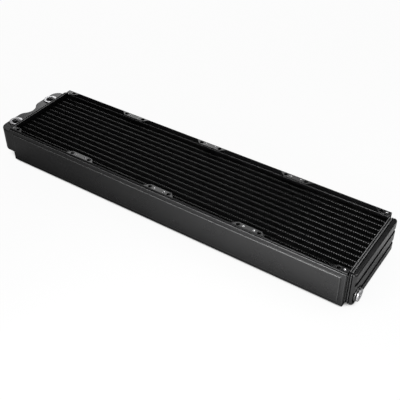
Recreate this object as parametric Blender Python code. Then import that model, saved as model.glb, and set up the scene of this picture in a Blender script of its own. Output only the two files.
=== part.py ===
"""A four-fan liquid cooling radiator: a finned tube core between two end tanks, held by two side channels.

Metres, +Z up. The long side runs along X, the front long side faces -Y, and the port end is at -X.
The whole stands on Z = 0 with the middle of its box over the origin. Inside the root empty, X = 0 is
the middle of the fan field.
"""
import math

import bmesh
import bpy

# Fan pattern
FAN_COUNT = 4
FAN_PITCH = 0.140
FAN_SCREW_INSET = 0.00775
SCREW_HOLE_DIAMETER = 0.0035
RELIEF_HOLE_DIAMETER = 0.0054
RELIEF_HOLE_STEP = 0.0077

# Whole body
BODY_HEIGHT = 0.0573
FIT_GAP = 0.0003

# Side channels with the fan tabs
CHANNEL_THICKNESS = 0.0018
CHANNEL_SIDE_MARGIN = 0.0047
CHANNEL_END_MARGIN = 0.0052
CHANNEL_BEND_RADIUS = 0.0014
TAB_REACH = 0.0040
TAB_WEB = 0.0016
TAB_SIDE_ANGLE = 46.0
TAB_TIP_RADIUS = 0.0029
NOTCH_BITE = 0.0002
NOTCH_RUN_OUT = 0.00005

# Side covers
COVER_THICKNESS = 0.0013
COVER_EDGE_SETBACK = 0.0019
COVER_END_SETBACK = 0.0002
FIELD_BORDER = 0.0051
FIELD_HEIGHT = 0.0014

# Finned core
CORE_PLATE_THICKNESS = 0.0026
CORE_PLATE_RECESS = 0.0056
TUBE_COUNT = 12
TUBE_THICKNESS = 0.0023
TUBE_RECESS = 0.0076
TUBE_WALL = 0.0004
TUBE_PROTRUSION = 0.0018
FIN_SETBACK = 0.0006
FIN_SHEET = 0.0005
FIN_WAVE = 0.0105
FIN_END_GAP = 0.0009

# Header plates and tank flanges
HEADER_THICKNESS = 0.0021
HEADER_EDGE_SETBACK = 0.0020
HEADER_CORNER_RADIUS = 0.0059
FLANGE_LIP = 0.0009
FLANGE_THICKNESS = 0.0021

# Both end tanks
TANK_SIDE_LAP = 0.0002
TANK_WALL = 0.0018
TANK_TUBE_MARGIN = 0.0005
TANK_CORNER_RADIUS = 0.0053

# Return tank
RETURN_TANK_DEPTH = 0.0065
RETURN_EDGE_RADIUS = 0.0026
RETURN_END_WALL = 0.0034
GROOVE_HEIGHT = 0.0065
GROOVE_DEPTH = 0.0017
GROOVE_SPACING = 0.0201

# Port tank
PORT_BASE_ROOM = 0.0008
PORT_BLOCK_SETBACK = 0.0048
PORT_BLOCK_OVERHANG = 0.0016
PORT_BLOCK_WALL = 0.0023
PORT_INSET = 0.0258
PORT_EDGE_MARGIN = 0.0007
LOBE_CORNER_RADIUS = 0.0141
LOBE_SHOULDER_RADIUS = 0.0141
VALLEY_RADIUS = 0.0164
VALLEY_DEPTH = 0.0088
DIVIDER_THICKNESS = 0.0015

# Port collars
PORT_STEP_MARGIN = 0.0003
COLLAR_DIAMETER = 0.0206
COLLAR_FLANGE = 0.0012
COLLAR_BORE = 0.0118
COLLAR_SLEEVE_WALL = 0.0018
COLLAR_SLEEVE_LENGTH = 0.0105

# Drain bush, seal and plug
DRAIN_SIDE_MARGIN = 0.0107
DRAIN_BASE_MARGIN = 0.0135
RECESS_DEPTH = 0.0019
RECESS_CLEARANCE = 0.0023
NECK_HEIGHT = 0.0014
NECK_WALL = 0.0009
BUSH_FLANGE_LIP = 0.0008
BUSH_FLANGE = 0.0013
BUSH_WALL = 0.0008
BUSH_LENGTH = 0.0048
SEAL_GAP = 0.00012
SEAL_SECTION = 0.0011
PLUG_THREAD_DIAMETER = 0.0131
PLUG_SHANK_LENGTH = 0.0070
PLUG_HEAD_DIAMETER = 0.0175
PLUG_HEAD_HEIGHT = 0.0016
PLUG_EDGE_CHAMFER = 0.0005
PLUG_SOCKET_WIDTH = 0.0060
PLUG_SOCKET_DEPTH = 0.0041

# Facets of round forms
ROUND_STEPS = 24
HOLE_STEPS = 10
CORNER_STEPS = 4
EDGE_STEPS = 3
LOBE_STEPS = 6
TUBE_END_STEPS = 4
SEAL_SECTION_STEPS = 8
CUT_MARGIN = 0.002

# Places that follow from the sizes above
FAN_FIELD = FAN_COUNT * FAN_PITCH
FAN_SCREW_SPACING = FAN_PITCH - 2 * FAN_SCREW_INSET
SCREW_ROW = FAN_SCREW_SPACING / 2
RELIEF_INSET = FAN_SCREW_INSET + RELIEF_HOLE_STEP

CHANNEL_END = FAN_FIELD / 2 - FAN_SCREW_INSET + CHANNEL_END_MARGIN
CHANNEL_OUTER = SCREW_ROW + CHANNEL_SIDE_MARGIN
CHANNEL_INNER = CHANNEL_OUTER - CHANNEL_THICKNESS
TAB_TIP = SCREW_ROW - TAB_REACH

COVER_INNER = CHANNEL_OUTER + FIT_GAP
COVER_OUTER = COVER_INNER + COVER_THICKNESS
COVER_END = CHANNEL_END - COVER_END_SETBACK

MID_HEIGHT = BODY_HEIGHT / 2
TUBE_DEPTH = BODY_HEIGHT - 2 * TUBE_RECESS
CORE_PLATE_OUTER = CHANNEL_INNER - FIT_GAP
CORE_PLATE_INNER = CORE_PLATE_OUTER - CORE_PLATE_THICKNESS
FIN_COUNT = TUBE_COUNT + 1
FIN_HEIGHT = (2 * CORE_PLATE_INNER - TUBE_COUNT * TUBE_THICKNESS - 2 * FIN_COUNT * FIT_GAP) / FIN_COUNT
TUBE_PITCH = TUBE_THICKNESS + FIN_HEIGHT + 2 * FIT_GAP
DIVIDER_Y = TUBE_COUNT % 2 * TUBE_PITCH / 2

HEADER_INNER = CHANNEL_END + FIT_GAP
HEADER_OUTER = HEADER_INNER + HEADER_THICKNESS
HEADER_HALF_HEIGHT = MID_HEIGHT - HEADER_EDGE_SETBACK
TANK_HALF_WIDTH = CORE_PLATE_INNER + TANK_SIDE_LAP
HEADER_HALF_WIDTH = TANK_HALF_WIDTH + FLANGE_LIP
FLANGE_INNER = HEADER_OUTER + FIT_GAP
FLANGE_OUTER = FLANGE_INNER + FLANGE_THICKNESS
TUBE_END = HEADER_OUTER + TUBE_PROTRUSION

CAVITY_HALF_HEIGHT = TUBE_DEPTH / 2 + TANK_TUBE_MARGIN
PORT_BASE_HALF_HEIGHT = CAVITY_HALF_HEIGHT + TANK_WALL
RETURN_HALF_HEIGHT = HEADER_HALF_HEIGHT - FLANGE_LIP
RETURN_END = FLANGE_OUTER + RETURN_TANK_DEPTH

PORT_BASE_END = FLANGE_OUTER + PORT_BASE_ROOM + TANK_WALL
PORT_X = PORT_BASE_END + PORT_STEP_MARGIN + COLLAR_DIAMETER / 2
COLLAR_SLEEVE_RADIUS = COLLAR_BORE / 2 + COLLAR_SLEEVE_WALL
PORT_WALL_REACH = COLLAR_SLEEVE_RADIUS + 2 * FIT_GAP + PORT_BLOCK_WALL
PORT_REACH = max(COLLAR_DIAMETER / 2 + PORT_EDGE_MARGIN, PORT_WALL_REACH)
PORT_END = PORT_X + PORT_REACH
PORT_BLOCK_HALF_HEIGHT = PORT_BASE_HALF_HEIGHT - PORT_BLOCK_SETBACK
PORT_BLOCK_TOP = MID_HEIGHT + PORT_BLOCK_HALF_HEIGHT
PORT_BLOCK_HALF_WIDTH = TANK_HALF_WIDTH + PORT_BLOCK_OVERHANG
PORT_Y = PORT_BLOCK_HALF_WIDTH - PORT_INSET
COLLAR_BASE = PORT_BLOCK_TOP + FIT_GAP
COLLAR_TOP = COLLAR_BASE + COLLAR_FLANGE

DRAIN_Y = -(TANK_HALF_WIDTH - DRAIN_SIDE_MARGIN)
DRAIN_Z = MID_HEIGHT - RETURN_HALF_HEIGHT + DRAIN_BASE_MARGIN
RECESS_FLOOR = RETURN_END - RECESS_DEPTH
NECK_FACE = RECESS_FLOOR + NECK_HEIGHT
BUSH_BORE_RADIUS = PLUG_THREAD_DIAMETER / 2 + FIT_GAP
BUSH_SLEEVE_RADIUS = BUSH_BORE_RADIUS + BUSH_WALL
BUSH_HOLE_RADIUS = BUSH_SLEEVE_RADIUS + FIT_GAP
NECK_RADIUS = BUSH_HOLE_RADIUS + NECK_WALL
BUSH_FLANGE_RADIUS = NECK_RADIUS + BUSH_FLANGE_LIP
BUSH_FACE = NECK_FACE + FIT_GAP + BUSH_FLANGE
SEAL_X = BUSH_FACE + SEAL_GAP + SEAL_SECTION / 2
SEAL_RADIUS = PLUG_THREAD_DIAMETER / 2 + FIT_GAP + SEAL_SECTION / 2
PLUG_SEAT = SEAL_X + SEAL_SECTION / 2 + SEAL_GAP
PLUG_FACE = PLUG_SEAT + PLUG_HEAD_HEIGHT

# Finishes: colour, metallic, roughness
BLACK_PAINT = ((0.018, 0.018, 0.019), 0.0, 0.42)
CORE_PAINT = ((0.008, 0.008, 0.009), 0.0, 0.55)
BARE_BRASS = ((0.55, 0.42, 0.20), 1.0, 0.35)
CHROME = ((0.75, 0.75, 0.76), 1.0, 0.12)
RUBBER = ((0.012, 0.012, 0.012), 0.0, 0.75)


def clear_scene():
    """Take every object out of the scene."""
    for item in list(bpy.data.objects):
        bpy.data.objects.remove(item, do_unlink=True)


def make_material(name, finish):
    """A plain painted, metal or rubber finish."""
    colour, metallic, roughness = finish
    material = bpy.data.materials.new(name)
    material.use_nodes = True
    shader = material.node_tree.nodes["Principled BSDF"]
    shader.inputs["Base Color"].default_value = (*colour, 1.0)
    shader.inputs["Metallic"].default_value = metallic
    shader.inputs["Roughness"].default_value = roughness
    return material


def make_object(name, bm, root, finish=None, location=(0.0, 0.0, 0.0)):
    """Turn a mesh under construction into a named object under the root."""
    bmesh.ops.recalc_face_normals(bm, faces=bm.faces)
    mesh = bpy.data.meshes.new(name)
    bm.to_mesh(mesh)
    bm.free()
    mesh.shade_smooth()
    mesh.set_sharp_from_angle(angle=math.radians(35))
    item = bpy.data.objects.new(name, mesh)
    bpy.context.collection.objects.link(item)
    item.parent = root
    item.location = location
    if finish is not None:
        mesh.materials.append(make_material(name + "_finish", finish))
    return item


def boolean(target, tool, operation):
    """Cut a tool out of a target or join it on, and keep the tool as a hidden guide."""
    tool.hide_render = True
    tool.display_type = "WIRE"
    modifier = target.modifiers.new(tool.name, "BOOLEAN")
    modifier.operation = operation
    modifier.solver = "EXACT"
    modifier.object = tool


def add_prism(bm, outline, low, high, axis):
    """A straight extrusion of a flat outline along one axis, from low to high."""
    order = {"X": (2, 0, 1), "Y": (0, 2, 1), "Z": (0, 1, 2)}[axis]
    ends = []
    for along in (low, high):
        loop = []
        for u, v in outline:
            values = (u, v, along)
            loop.append(bm.verts.new([values[i] for i in order]))
        ends.append(loop)
        bm.faces.new(loop)
    for i in range(len(outline)):
        j = (i + 1) % len(outline)
        bm.faces.new((ends[0][i], ends[0][j], ends[1][j], ends[1][i]))


def prism(outline, low, high, axis):
    """A new mesh that holds one extrusion."""
    bm = bmesh.new()
    add_prism(bm, outline, low, high, axis)
    return bm


def arc(centre, radius, start, end, steps):
    """Points along an arc, angles in degrees, both ends included."""
    points = []
    for i in range(steps + 1):
        angle = math.radians(start + (end - start) * i / steps)
        points.append((centre[0] + radius * math.cos(angle), centre[1] + radius * math.sin(angle)))
    return points


def circle(centre, radius, steps):
    """Points round a full circle."""
    return arc(centre, radius, 0, 360, steps)[:-1]


def rectangle(low_u, high_u, low_v, high_v):
    """The four corners of a rectangle."""
    return [(low_u, low_v), (high_u, low_v), (high_u, high_v), (low_u, high_v)]


def rounded_rectangle(half_width, centre_v, half_height, radius):
    """A rectangle with round corners, about u = 0."""
    across = half_width - radius
    up = half_height - radius
    points = arc((across, centre_v + up), radius, 0, 90, CORNER_STEPS)
    points += arc((-across, centre_v + up), radius, 90, 180, CORNER_STEPS)
    points += arc((-across, centre_v - up), radius, 180, 270, CORNER_STEPS)
    points += arc((across, centre_v - up), radius, 270, 360, CORNER_STEPS)
    return points


def obround(centre_u, half_width, centre_v, half_height):
    """A slot outline: straight flanks along v and half round ends."""
    up = half_height - half_width
    points = arc((centre_u, centre_v + up), half_width, 0, 180, TUBE_END_STEPS)
    points += arc((centre_u, centre_v - up), half_width, 180, 360, TUBE_END_STEPS)
    return points


def fillet(before, corner, after, radius):
    """Round one convex or concave corner of an outline with an arc tangent to both sides."""
    to_before = math.atan2(before[1] - corner[1], before[0] - corner[0])
    to_after = math.atan2(after[1] - corner[1], after[0] - corner[0])
    turn = (to_after - to_before + math.pi) % (2 * math.pi) - math.pi
    half = abs(turn) / 2
    middle = to_before + turn / 2
    centre_distance = radius / math.sin(half)
    centre_u = corner[0] + centre_distance * math.cos(middle)
    centre_v = corner[1] + centre_distance * math.sin(middle)
    spread = math.pi / 2 - half
    sign = 1 if turn > 0 else -1
    points = []
    for i in range(CORNER_STEPS + 1):
        share = 2 * i / CORNER_STEPS - 1
        angle = middle + math.pi - sign * spread * share
        points.append((centre_u + radius * math.cos(angle), centre_v + radius * math.sin(angle)))
    return points


def turned(profile, axis, steps):
    """A closed profile of (radius, height) points swept right round an axis."""
    bm = bmesh.new()
    rings = []
    for i in range(steps):
        angle = 2 * math.pi * i / steps
        ring = []
        for radius, height in profile:
            across = radius * math.cos(angle)
            along = radius * math.sin(angle)
            place = (across, along, height) if axis == "Z" else (height, across, along)
            ring.append(bm.verts.new(place))
        rings.append(ring)
    for i in range(steps):
        this_ring = rings[i]
        next_ring = rings[(i + 1) % steps]
        for k in range(len(profile)):
            n = (k + 1) % len(profile)
            bm.faces.new((this_ring[k], next_ring[k], next_ring[n], this_ring[n]))
    return bm


def fan_edges():
    """Where two fans meet along X, and the two outer ends of the fan field."""
    return [-FAN_FIELD / 2 + i * FAN_PITCH for i in range(FAN_COUNT + 1)]


def tab_half_width(distance):
    """Half the width of a fan tab at a distance from the middle plane of the radiator."""
    angle = math.radians(TAB_SIDE_ANGLE)
    inward = SCREW_ROW - distance
    clear = RELIEF_HOLE_DIAMETER / 2 + TAB_WEB
    return RELIEF_INSET + (clear - inward * math.cos(angle)) / math.sin(angle)


def channel_profile(side):
    """The C section of a side channel in the YZ plane."""
    bend = CHANNEL_BEND_RADIUS
    points = arc((CHANNEL_OUTER - bend, BODY_HEIGHT - bend), bend, 0, 90, CORNER_STEPS)
    points += [(TAB_TIP, BODY_HEIGHT), (TAB_TIP, BODY_HEIGHT - CHANNEL_THICKNESS)]
    points += [(CHANNEL_INNER, BODY_HEIGHT - CHANNEL_THICKNESS), (CHANNEL_INNER, CHANNEL_THICKNESS)]
    points += [(TAB_TIP, CHANNEL_THICKNESS), (TAB_TIP, 0.0)]
    points += arc((CHANNEL_OUTER - bend, bend), bend, 270, 360, CORNER_STEPS)
    return [(side * y, z) for y, z in points]


def notch_outline(left_edge, right_edge, side):
    """The gap between two neighbouring fan tabs, seen from above."""
    root_y = CHANNEL_INNER + NOTCH_BITE
    tip_y = TAB_TIP - NOTCH_RUN_OUT
    open_y = TAB_TIP - CUT_MARGIN
    left = [(left_edge + tab_half_width(root_y), root_y), (left_edge + tab_half_width(tip_y), tip_y)]
    right = [(right_edge - tab_half_width(root_y), root_y), (right_edge - tab_half_width(tip_y), tip_y)]
    left_mouth = (left[1][0] - TAB_TIP_RADIUS, tip_y)
    right_mouth = (right[1][0] + TAB_TIP_RADIUS, tip_y)
    points = [left[0]]
    points += fillet(left[0], left[1], left_mouth, TAB_TIP_RADIUS)
    points += [(points[-1][0], open_y)]
    right_bend = fillet(right_mouth, right[1], right[0], TAB_TIP_RADIUS)
    points += [(right_bend[0][0], open_y)]
    points += right_bend
    points += [right[0]]
    return [(x, side * y) for x, y in points]


def channel_cuts(name, side, root):
    """Notches between the fan tabs, threaded screw holes and relief holes of one channel."""
    bm = bmesh.new()
    low = -CUT_MARGIN
    high = BODY_HEIGHT + CUT_MARGIN
    edges = fan_edges()
    for left_edge, right_edge in zip(edges, edges[1:]):
        add_prism(bm, notch_outline(left_edge, right_edge, side), low, high, "Z")
        holes = ((FAN_SCREW_INSET, SCREW_HOLE_DIAMETER), (RELIEF_INSET, RELIEF_HOLE_DIAMETER))
        for inset, diameter in holes:
            for x in (left_edge + inset, right_edge - inset):
                outline = circle((x, side * SCREW_ROW), diameter / 2, HOLE_STEPS)
                add_prism(bm, outline, low, high, "Z")
    return make_object(name, bm, root)


def build_side_channel(name, side, root):
    """A bent steel channel whose lips are cut back to fan tabs, above and below."""
    bm = prism(channel_profile(side), -CHANNEL_END, CHANNEL_END, "X")
    channel = make_object(name, bm, root, BLACK_PAINT)
    boolean(channel, channel_cuts(name + "_cuts", side, root), "DIFFERENCE")


def build_side_cover(name, side, root):
    """A cover plate outside a channel, with a raised field inside a flat border."""
    low = COVER_EDGE_SETBACK
    high = BODY_HEIGHT - COVER_EDGE_SETBACK
    foot = FIELD_BORDER
    crown = FIELD_BORDER + FIELD_HEIGHT
    levels = ((0.0, COVER_INNER), (0.0, COVER_OUTER), (foot, COVER_OUTER),
              (crown, COVER_OUTER + FIELD_HEIGHT))
    bm = bmesh.new()
    loops = []
    for inset, y in levels:
        corners = rectangle(-COVER_END + inset, COVER_END - inset, low + inset, high - inset)
        loops.append([bm.verts.new((x, side * y, z)) for x, z in corners])
    bm.faces.new(loops[0])
    bm.faces.new(loops[-1])
    for inner, outer in zip(loops, loops[1:]):
        for i in range(4):
            j = (i + 1) % 4
            bm.faces.new((inner[i], inner[j], outer[j], outer[i]))
    make_object(name, bm, root, BLACK_PAINT)


def build_core_plate(name, side, root):
    """The plate that closes the core at one long side."""
    outline = rectangle(side * CORE_PLATE_INNER, side * CORE_PLATE_OUTER, CORE_PLATE_RECESS,
                        BODY_HEIGHT - CORE_PLATE_RECESS)
    make_object(name, prism(outline, -CHANNEL_END, CHANNEL_END, "X"), root, BLACK_PAINT)


def tube_places():
    """The Y place of each flat tube."""
    first = -(TUBE_COUNT - 1) / 2 * TUBE_PITCH
    return [first + i * TUBE_PITCH for i in range(TUBE_COUNT)]


def build_tube(name, y, root):
    """A flat tube, open at both ends."""
    bm = bmesh.new()
    shells = []
    for wall in (0.0, TUBE_WALL):
        outline = obround(y, TUBE_THICKNESS / 2 - wall, MID_HEIGHT, TUBE_DEPTH / 2 - wall)
        shells.append([[bm.verts.new((x, u, v)) for u, v in outline] for x in (-TUBE_END, TUBE_END)])
    count = len(shells[0][0])
    for i in range(count):
        j = (i + 1) % count
        for near, far in shells:
            bm.faces.new((near[i], near[j], far[j], far[i]))
        for end in range(2):
            outer = shells[0][end]
            inner = shells[1][end]
            bm.faces.new((outer[i], outer[j], inner[j], inner[i]))
    make_object(name, bm, root, CORE_PAINT)


def build_fin_strip(name, y, root):
    """A folded fin strip between two tubes, as a zigzag sheet."""
    length = 2 * (HEADER_INNER - FIN_END_GAP)
    legs = 2 * max(2, round(length / FIN_WAVE))
    swing = (FIN_HEIGHT - FIN_SHEET) / 2
    crests = []
    for i in range(legs + 1):
        x = -length / 2 + length * i / legs
        crests.append((x, y + (swing if i % 2 else -swing)))
    upper = [(x, crest + FIN_SHEET / 2) for x, crest in crests]
    lower = [(x, crest - FIN_SHEET / 2) for x, crest in crests]
    half_depth = TUBE_DEPTH / 2 - FIN_SETBACK
    bm = prism(lower + upper[::-1], MID_HEIGHT - half_depth, MID_HEIGHT + half_depth, "Z")
    make_object(name, bm, root, CORE_PAINT)


def build_header_plate(name, side, root):
    """An end plate of the core with a slot for every tube."""
    outline = rounded_rectangle(HEADER_HALF_WIDTH, MID_HEIGHT, HEADER_HALF_HEIGHT, HEADER_CORNER_RADIUS)
    sheet = prism(outline, side * HEADER_INNER, side * HEADER_OUTER, "X")
    plate = make_object(name, sheet, root, BLACK_PAINT)
    bm = bmesh.new()
    near = side * (HEADER_INNER - CUT_MARGIN)
    far = side * (HEADER_OUTER + CUT_MARGIN)
    for y in tube_places():
        slot = obround(y, TUBE_THICKNESS / 2 + FIT_GAP, MID_HEIGHT, TUBE_DEPTH / 2 + FIT_GAP)
        add_prism(bm, slot, near, far, "X")
    boolean(plate, make_object(name + "_slots", bm, root), "DIFFERENCE")


def tank_outline(side, inner_x, end_x, half_width, radius):
    """The plan of a straight tank with two round outer corners."""
    points = [(inner_x, -half_width)]
    points += arc((end_x - radius, -half_width + radius), radius, -90, 0, CORNER_STEPS)
    points += arc((end_x - radius, half_width - radius), radius, 0, 90, CORNER_STEPS)
    points += [(inner_x, half_width)]
    return [(side * x, y) for x, y in points]


def build_flange(name, side, root):
    """The flat rim of a tank, against the header plate."""
    outline = rounded_rectangle(HEADER_HALF_WIDTH, MID_HEIGHT, HEADER_HALF_HEIGHT, HEADER_CORNER_RADIUS)
    rim = prism(outline, side * FLANGE_INNER, side * FLANGE_OUTER, "X")
    return make_object(name, rim, root, BLACK_PAINT)


def join_prism(target, name, outline, half_height, root, operation):
    """Join to a tank, or cut out of it, an upright form centred on the mid height."""
    bm = prism(outline, MID_HEIGHT - half_height, MID_HEIGHT + half_height, "Z")
    boolean(target, make_object(target.name + name, bm, root), operation)


def return_body(join_x):
    """The body of the return tank, with its upper and lower edges rounded."""
    levels = []
    for inset, rise in arc((0.0, 0.0), RETURN_EDGE_RADIUS, 0, 90, EDGE_STEPS):
        levels.append((RETURN_EDGE_RADIUS - inset, RETURN_HALF_HEIGHT - RETURN_EDGE_RADIUS + rise))
    levels = [(inset, -height) for inset, height in levels[::-1]] + levels
    bm = bmesh.new()
    loops = []
    for inset, height in levels:
        plan = tank_outline(1, join_x, RETURN_END - inset, TANK_HALF_WIDTH - inset,
                            TANK_CORNER_RADIUS - inset)
        loops.append([bm.verts.new((x, y, MID_HEIGHT + height)) for x, y in plan])
    bm.faces.new(loops[0])
    bm.faces.new(loops[-1])
    for low, high in zip(loops, loops[1:]):
        for i in range(len(low)):
            j = (i + 1) % len(low)
            bm.faces.new((low[i], low[j], high[j], high[i]))
    return bm


def build_return_tank(root):
    """The plain tank at +X: grooved end wall and a recessed drain neck in the lower front corner."""
    tank = build_flange("return_tank", 1, root)
    join_x = (FLANGE_INNER + FLANGE_OUTER) / 2
    boolean(tank, make_object("return_tank_body", return_body(join_x), root), "UNION")
    grooves = bmesh.new()
    for level in (-GROOVE_SPACING / 2, GROOVE_SPACING / 2):
        band = rectangle(RETURN_END - GROOVE_DEPTH, RETURN_END + CUT_MARGIN,
                         MID_HEIGHT + level - GROOVE_HEIGHT / 2, MID_HEIGHT + level + GROOVE_HEIGHT / 2)
        add_prism(grooves, band, -TANK_HALF_WIDTH - CUT_MARGIN, TANK_HALF_WIDTH + CUT_MARGIN, "Y")
    boolean(tank, make_object("return_tank_grooves", grooves, root), "DIFFERENCE")
    centre = (DRAIN_Y, DRAIN_Z)
    recess = prism(circle(centre, BUSH_FLANGE_RADIUS + RECESS_CLEARANCE, ROUND_STEPS), RECESS_FLOOR,
                   RETURN_END + CUT_MARGIN, "X")
    boolean(tank, make_object("return_tank_recess", recess, root), "DIFFERENCE")
    neck = prism(circle(centre, NECK_RADIUS, ROUND_STEPS), RECESS_FLOOR - NECK_HEIGHT, NECK_FACE, "X")
    boolean(tank, make_object("return_tank_neck", neck, root), "UNION")
    wall_radius = TANK_CORNER_RADIUS - TANK_WALL
    cavity = tank_outline(1, FLANGE_INNER - CUT_MARGIN, RETURN_END - RETURN_END_WALL,
                          TANK_HALF_WIDTH - TANK_WALL, wall_radius)
    join_prism(tank, "_cavity", cavity, RETURN_HALF_HEIGHT - TANK_WALL, root, "DIFFERENCE")
    bore = prism(circle(centre, BUSH_HOLE_RADIUS, ROUND_STEPS), RETURN_END - RETURN_END_WALL - CUT_MARGIN,
                 NECK_FACE + CUT_MARGIN, "X")
    boolean(tank, make_object("return_tank_bore", bore, root), "DIFFERENCE")


def lobed_outline(inner_x, wall):
    """The plan of the port block: two round shouldered lobes with a valley between, inset by a wall."""
    half_width = PORT_BLOCK_HALF_WIDTH - wall
    corner = LOBE_CORNER_RADIUS - wall
    corner_centre = (PORT_END - LOBE_CORNER_RADIUS, PORT_BLOCK_HALF_WIDTH - LOBE_CORNER_RADIUS)
    shoulder_x = PORT_END - LOBE_SHOULDER_RADIUS
    valley_x = PORT_END - VALLEY_DEPTH + VALLEY_RADIUS
    reach = LOBE_SHOULDER_RADIUS + VALLEY_RADIUS
    shoulder_y = math.sqrt(reach ** 2 - (valley_x - shoulder_x) ** 2)
    turn = math.degrees(math.acos((valley_x - shoulder_x) / reach))
    half = [(inner_x, half_width)]
    half += arc(corner_centre, corner, 90, 0, LOBE_STEPS)
    half += arc((shoulder_x, shoulder_y), LOBE_SHOULDER_RADIUS - wall, 0, -turn, LOBE_STEPS)
    half += arc((valley_x, 0.0), VALLEY_RADIUS + wall, 180 - turn, 180, LOBE_STEPS)[1:]
    points = half + [(x, -y) for x, y in half[-2::-1]]
    return [(-x, y) for x, y in points]


def build_port_tank(root):
    """The tank at -X: a base over all the tube ends and a lobed block that carries both ports."""
    tank = build_flange("port_tank", -1, root)
    join_x = (FLANGE_INNER + FLANGE_OUTER) / 2
    base = tank_outline(-1, join_x, PORT_BASE_END, TANK_HALF_WIDTH, TANK_WALL)
    join_prism(tank, "_base", base, PORT_BASE_HALF_HEIGHT, root, "UNION")
    block = lobed_outline(FLANGE_OUTER, 0.0)
    join_prism(tank, "_block", block, PORT_BLOCK_HALF_HEIGHT, root, "UNION")
    base_cavity = rectangle(-(PORT_BASE_END - TANK_WALL), -(FLANGE_INNER - CUT_MARGIN),
                            -TANK_HALF_WIDTH + TANK_WALL, TANK_HALF_WIDTH - TANK_WALL)
    join_prism(tank, "_base_cavity", base_cavity, CAVITY_HALF_HEIGHT, root, "DIFFERENCE")
    block_cavity = lobed_outline(FLANGE_OUTER, PORT_BLOCK_WALL)
    cavity_half = PORT_BLOCK_HALF_HEIGHT - PORT_BLOCK_WALL
    join_prism(tank, "_block_cavity", block_cavity, cavity_half, root, "DIFFERENCE")
    bores = bmesh.new()
    roof = PORT_BLOCK_TOP - PORT_BLOCK_WALL
    for y in (-PORT_Y, PORT_Y):
        hole = circle((-PORT_X, y), COLLAR_SLEEVE_RADIUS + FIT_GAP, ROUND_STEPS)
        add_prism(bores, hole, roof - CUT_MARGIN, PORT_BLOCK_TOP + CUT_MARGIN, "Z")
    boolean(tank, make_object("port_tank_bores", bores, root), "DIFFERENCE")


def build_divider(root):
    """The wall inside the port tank, between two tubes, that parts the inlet side from the outlet side."""
    near = FLANGE_INNER
    step = PORT_BASE_END - TANK_WALL - FIT_GAP
    far = PORT_END - VALLEY_DEPTH - PORT_BLOCK_WALL - FIT_GAP
    tall = CAVITY_HALF_HEIGHT - FIT_GAP
    short = PORT_BLOCK_HALF_HEIGHT - PORT_BLOCK_WALL - FIT_GAP
    upper = [(-near, MID_HEIGHT + tall), (-step, MID_HEIGHT + tall), (-step, MID_HEIGHT + short),
             (-far, MID_HEIGHT + short)]
    lower = [(x, 2 * MID_HEIGHT - z) for x, z in upper[::-1]]
    half = DIVIDER_THICKNESS / 2
    bm = prism(upper + lower, DIVIDER_Y - half, DIVIDER_Y + half, "Y")
    make_object("tank_divider", bm, root, BARE_BRASS)


def build_collar(name, y, root):
    """A threaded port collar: a bright ring on the tank with a sleeve through its wall."""
    bore = COLLAR_BORE / 2
    foot = PORT_BLOCK_TOP - COLLAR_SLEEVE_LENGTH
    profile = [(bore, foot), (COLLAR_SLEEVE_RADIUS, foot), (COLLAR_SLEEVE_RADIUS, COLLAR_BASE),
               (COLLAR_DIAMETER / 2, COLLAR_BASE), (COLLAR_DIAMETER / 2, COLLAR_TOP), (bore, COLLAR_TOP)]
    make_object(name, turned(profile, "Z", ROUND_STEPS), root, CHROME, (-PORT_X, y, 0.0))


def build_drain_bush(root):
    """The threaded bush in the drain neck."""
    base = BUSH_FACE - BUSH_FLANGE
    foot = base - BUSH_LENGTH
    profile = [(BUSH_BORE_RADIUS, foot), (BUSH_SLEEVE_RADIUS, foot), (BUSH_SLEEVE_RADIUS, base),
               (BUSH_FLANGE_RADIUS, base), (BUSH_FLANGE_RADIUS, BUSH_FACE),
               (BUSH_BORE_RADIUS, BUSH_FACE)]
    make_object("drain_bush", turned(profile, "X", ROUND_STEPS), root, CHROME, (0.0, DRAIN_Y, DRAIN_Z))


def build_drain_seal(root):
    """The round section ring under the head of the plug."""
    profile = circle((SEAL_RADIUS, 0.0), SEAL_SECTION / 2, SEAL_SECTION_STEPS)
    make_object("drain_seal", turned(profile, "X", ROUND_STEPS), root, RUBBER, (SEAL_X, DRAIN_Y, DRAIN_Z))


def build_drain_plug(root):
    """The drain plug, turned about its own axis, with a hexagon socket in its head."""
    shank = PLUG_THREAD_DIAMETER / 2
    head = PLUG_HEAD_DIAMETER / 2
    rings = ((shank - PLUG_EDGE_CHAMFER, -PLUG_SHANK_LENGTH),
             (shank, -PLUG_SHANK_LENGTH + PLUG_EDGE_CHAMFER), (shank, 0.0), (head, 0.0),
             (head, PLUG_HEAD_HEIGHT - PLUG_EDGE_CHAMFER), (head - PLUG_EDGE_CHAMFER, PLUG_HEAD_HEIGHT))
    bm = bmesh.new()
    loops = []
    for radius, height in rings:
        loops.append([bm.verts.new((height, u, v)) for u, v in circle((0.0, 0.0), radius, ROUND_STEPS)])
    for low, high in zip(loops, loops[1:]):
        for i in range(ROUND_STEPS):
            j = (i + 1) % ROUND_STEPS
            bm.faces.new((low[i], low[j], high[j], high[i]))
    bm.faces.new(loops[0])
    bm.faces.new(loops[-1])
    place = (PLUG_SEAT, DRAIN_Y, DRAIN_Z)
    plug = make_object("drain_plug", bm, root, CHROME, place)
    hexagon = circle((0.0, 0.0), PLUG_SOCKET_WIDTH / math.sqrt(3), 6)
    socket = prism(hexagon, PLUG_HEAD_HEIGHT - PLUG_SOCKET_DEPTH, PLUG_HEAD_HEIGHT + CUT_MARGIN, "X")
    boolean(plug, make_object("drain_plug_socket", socket, root, None, place), "DIFFERENCE")


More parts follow.
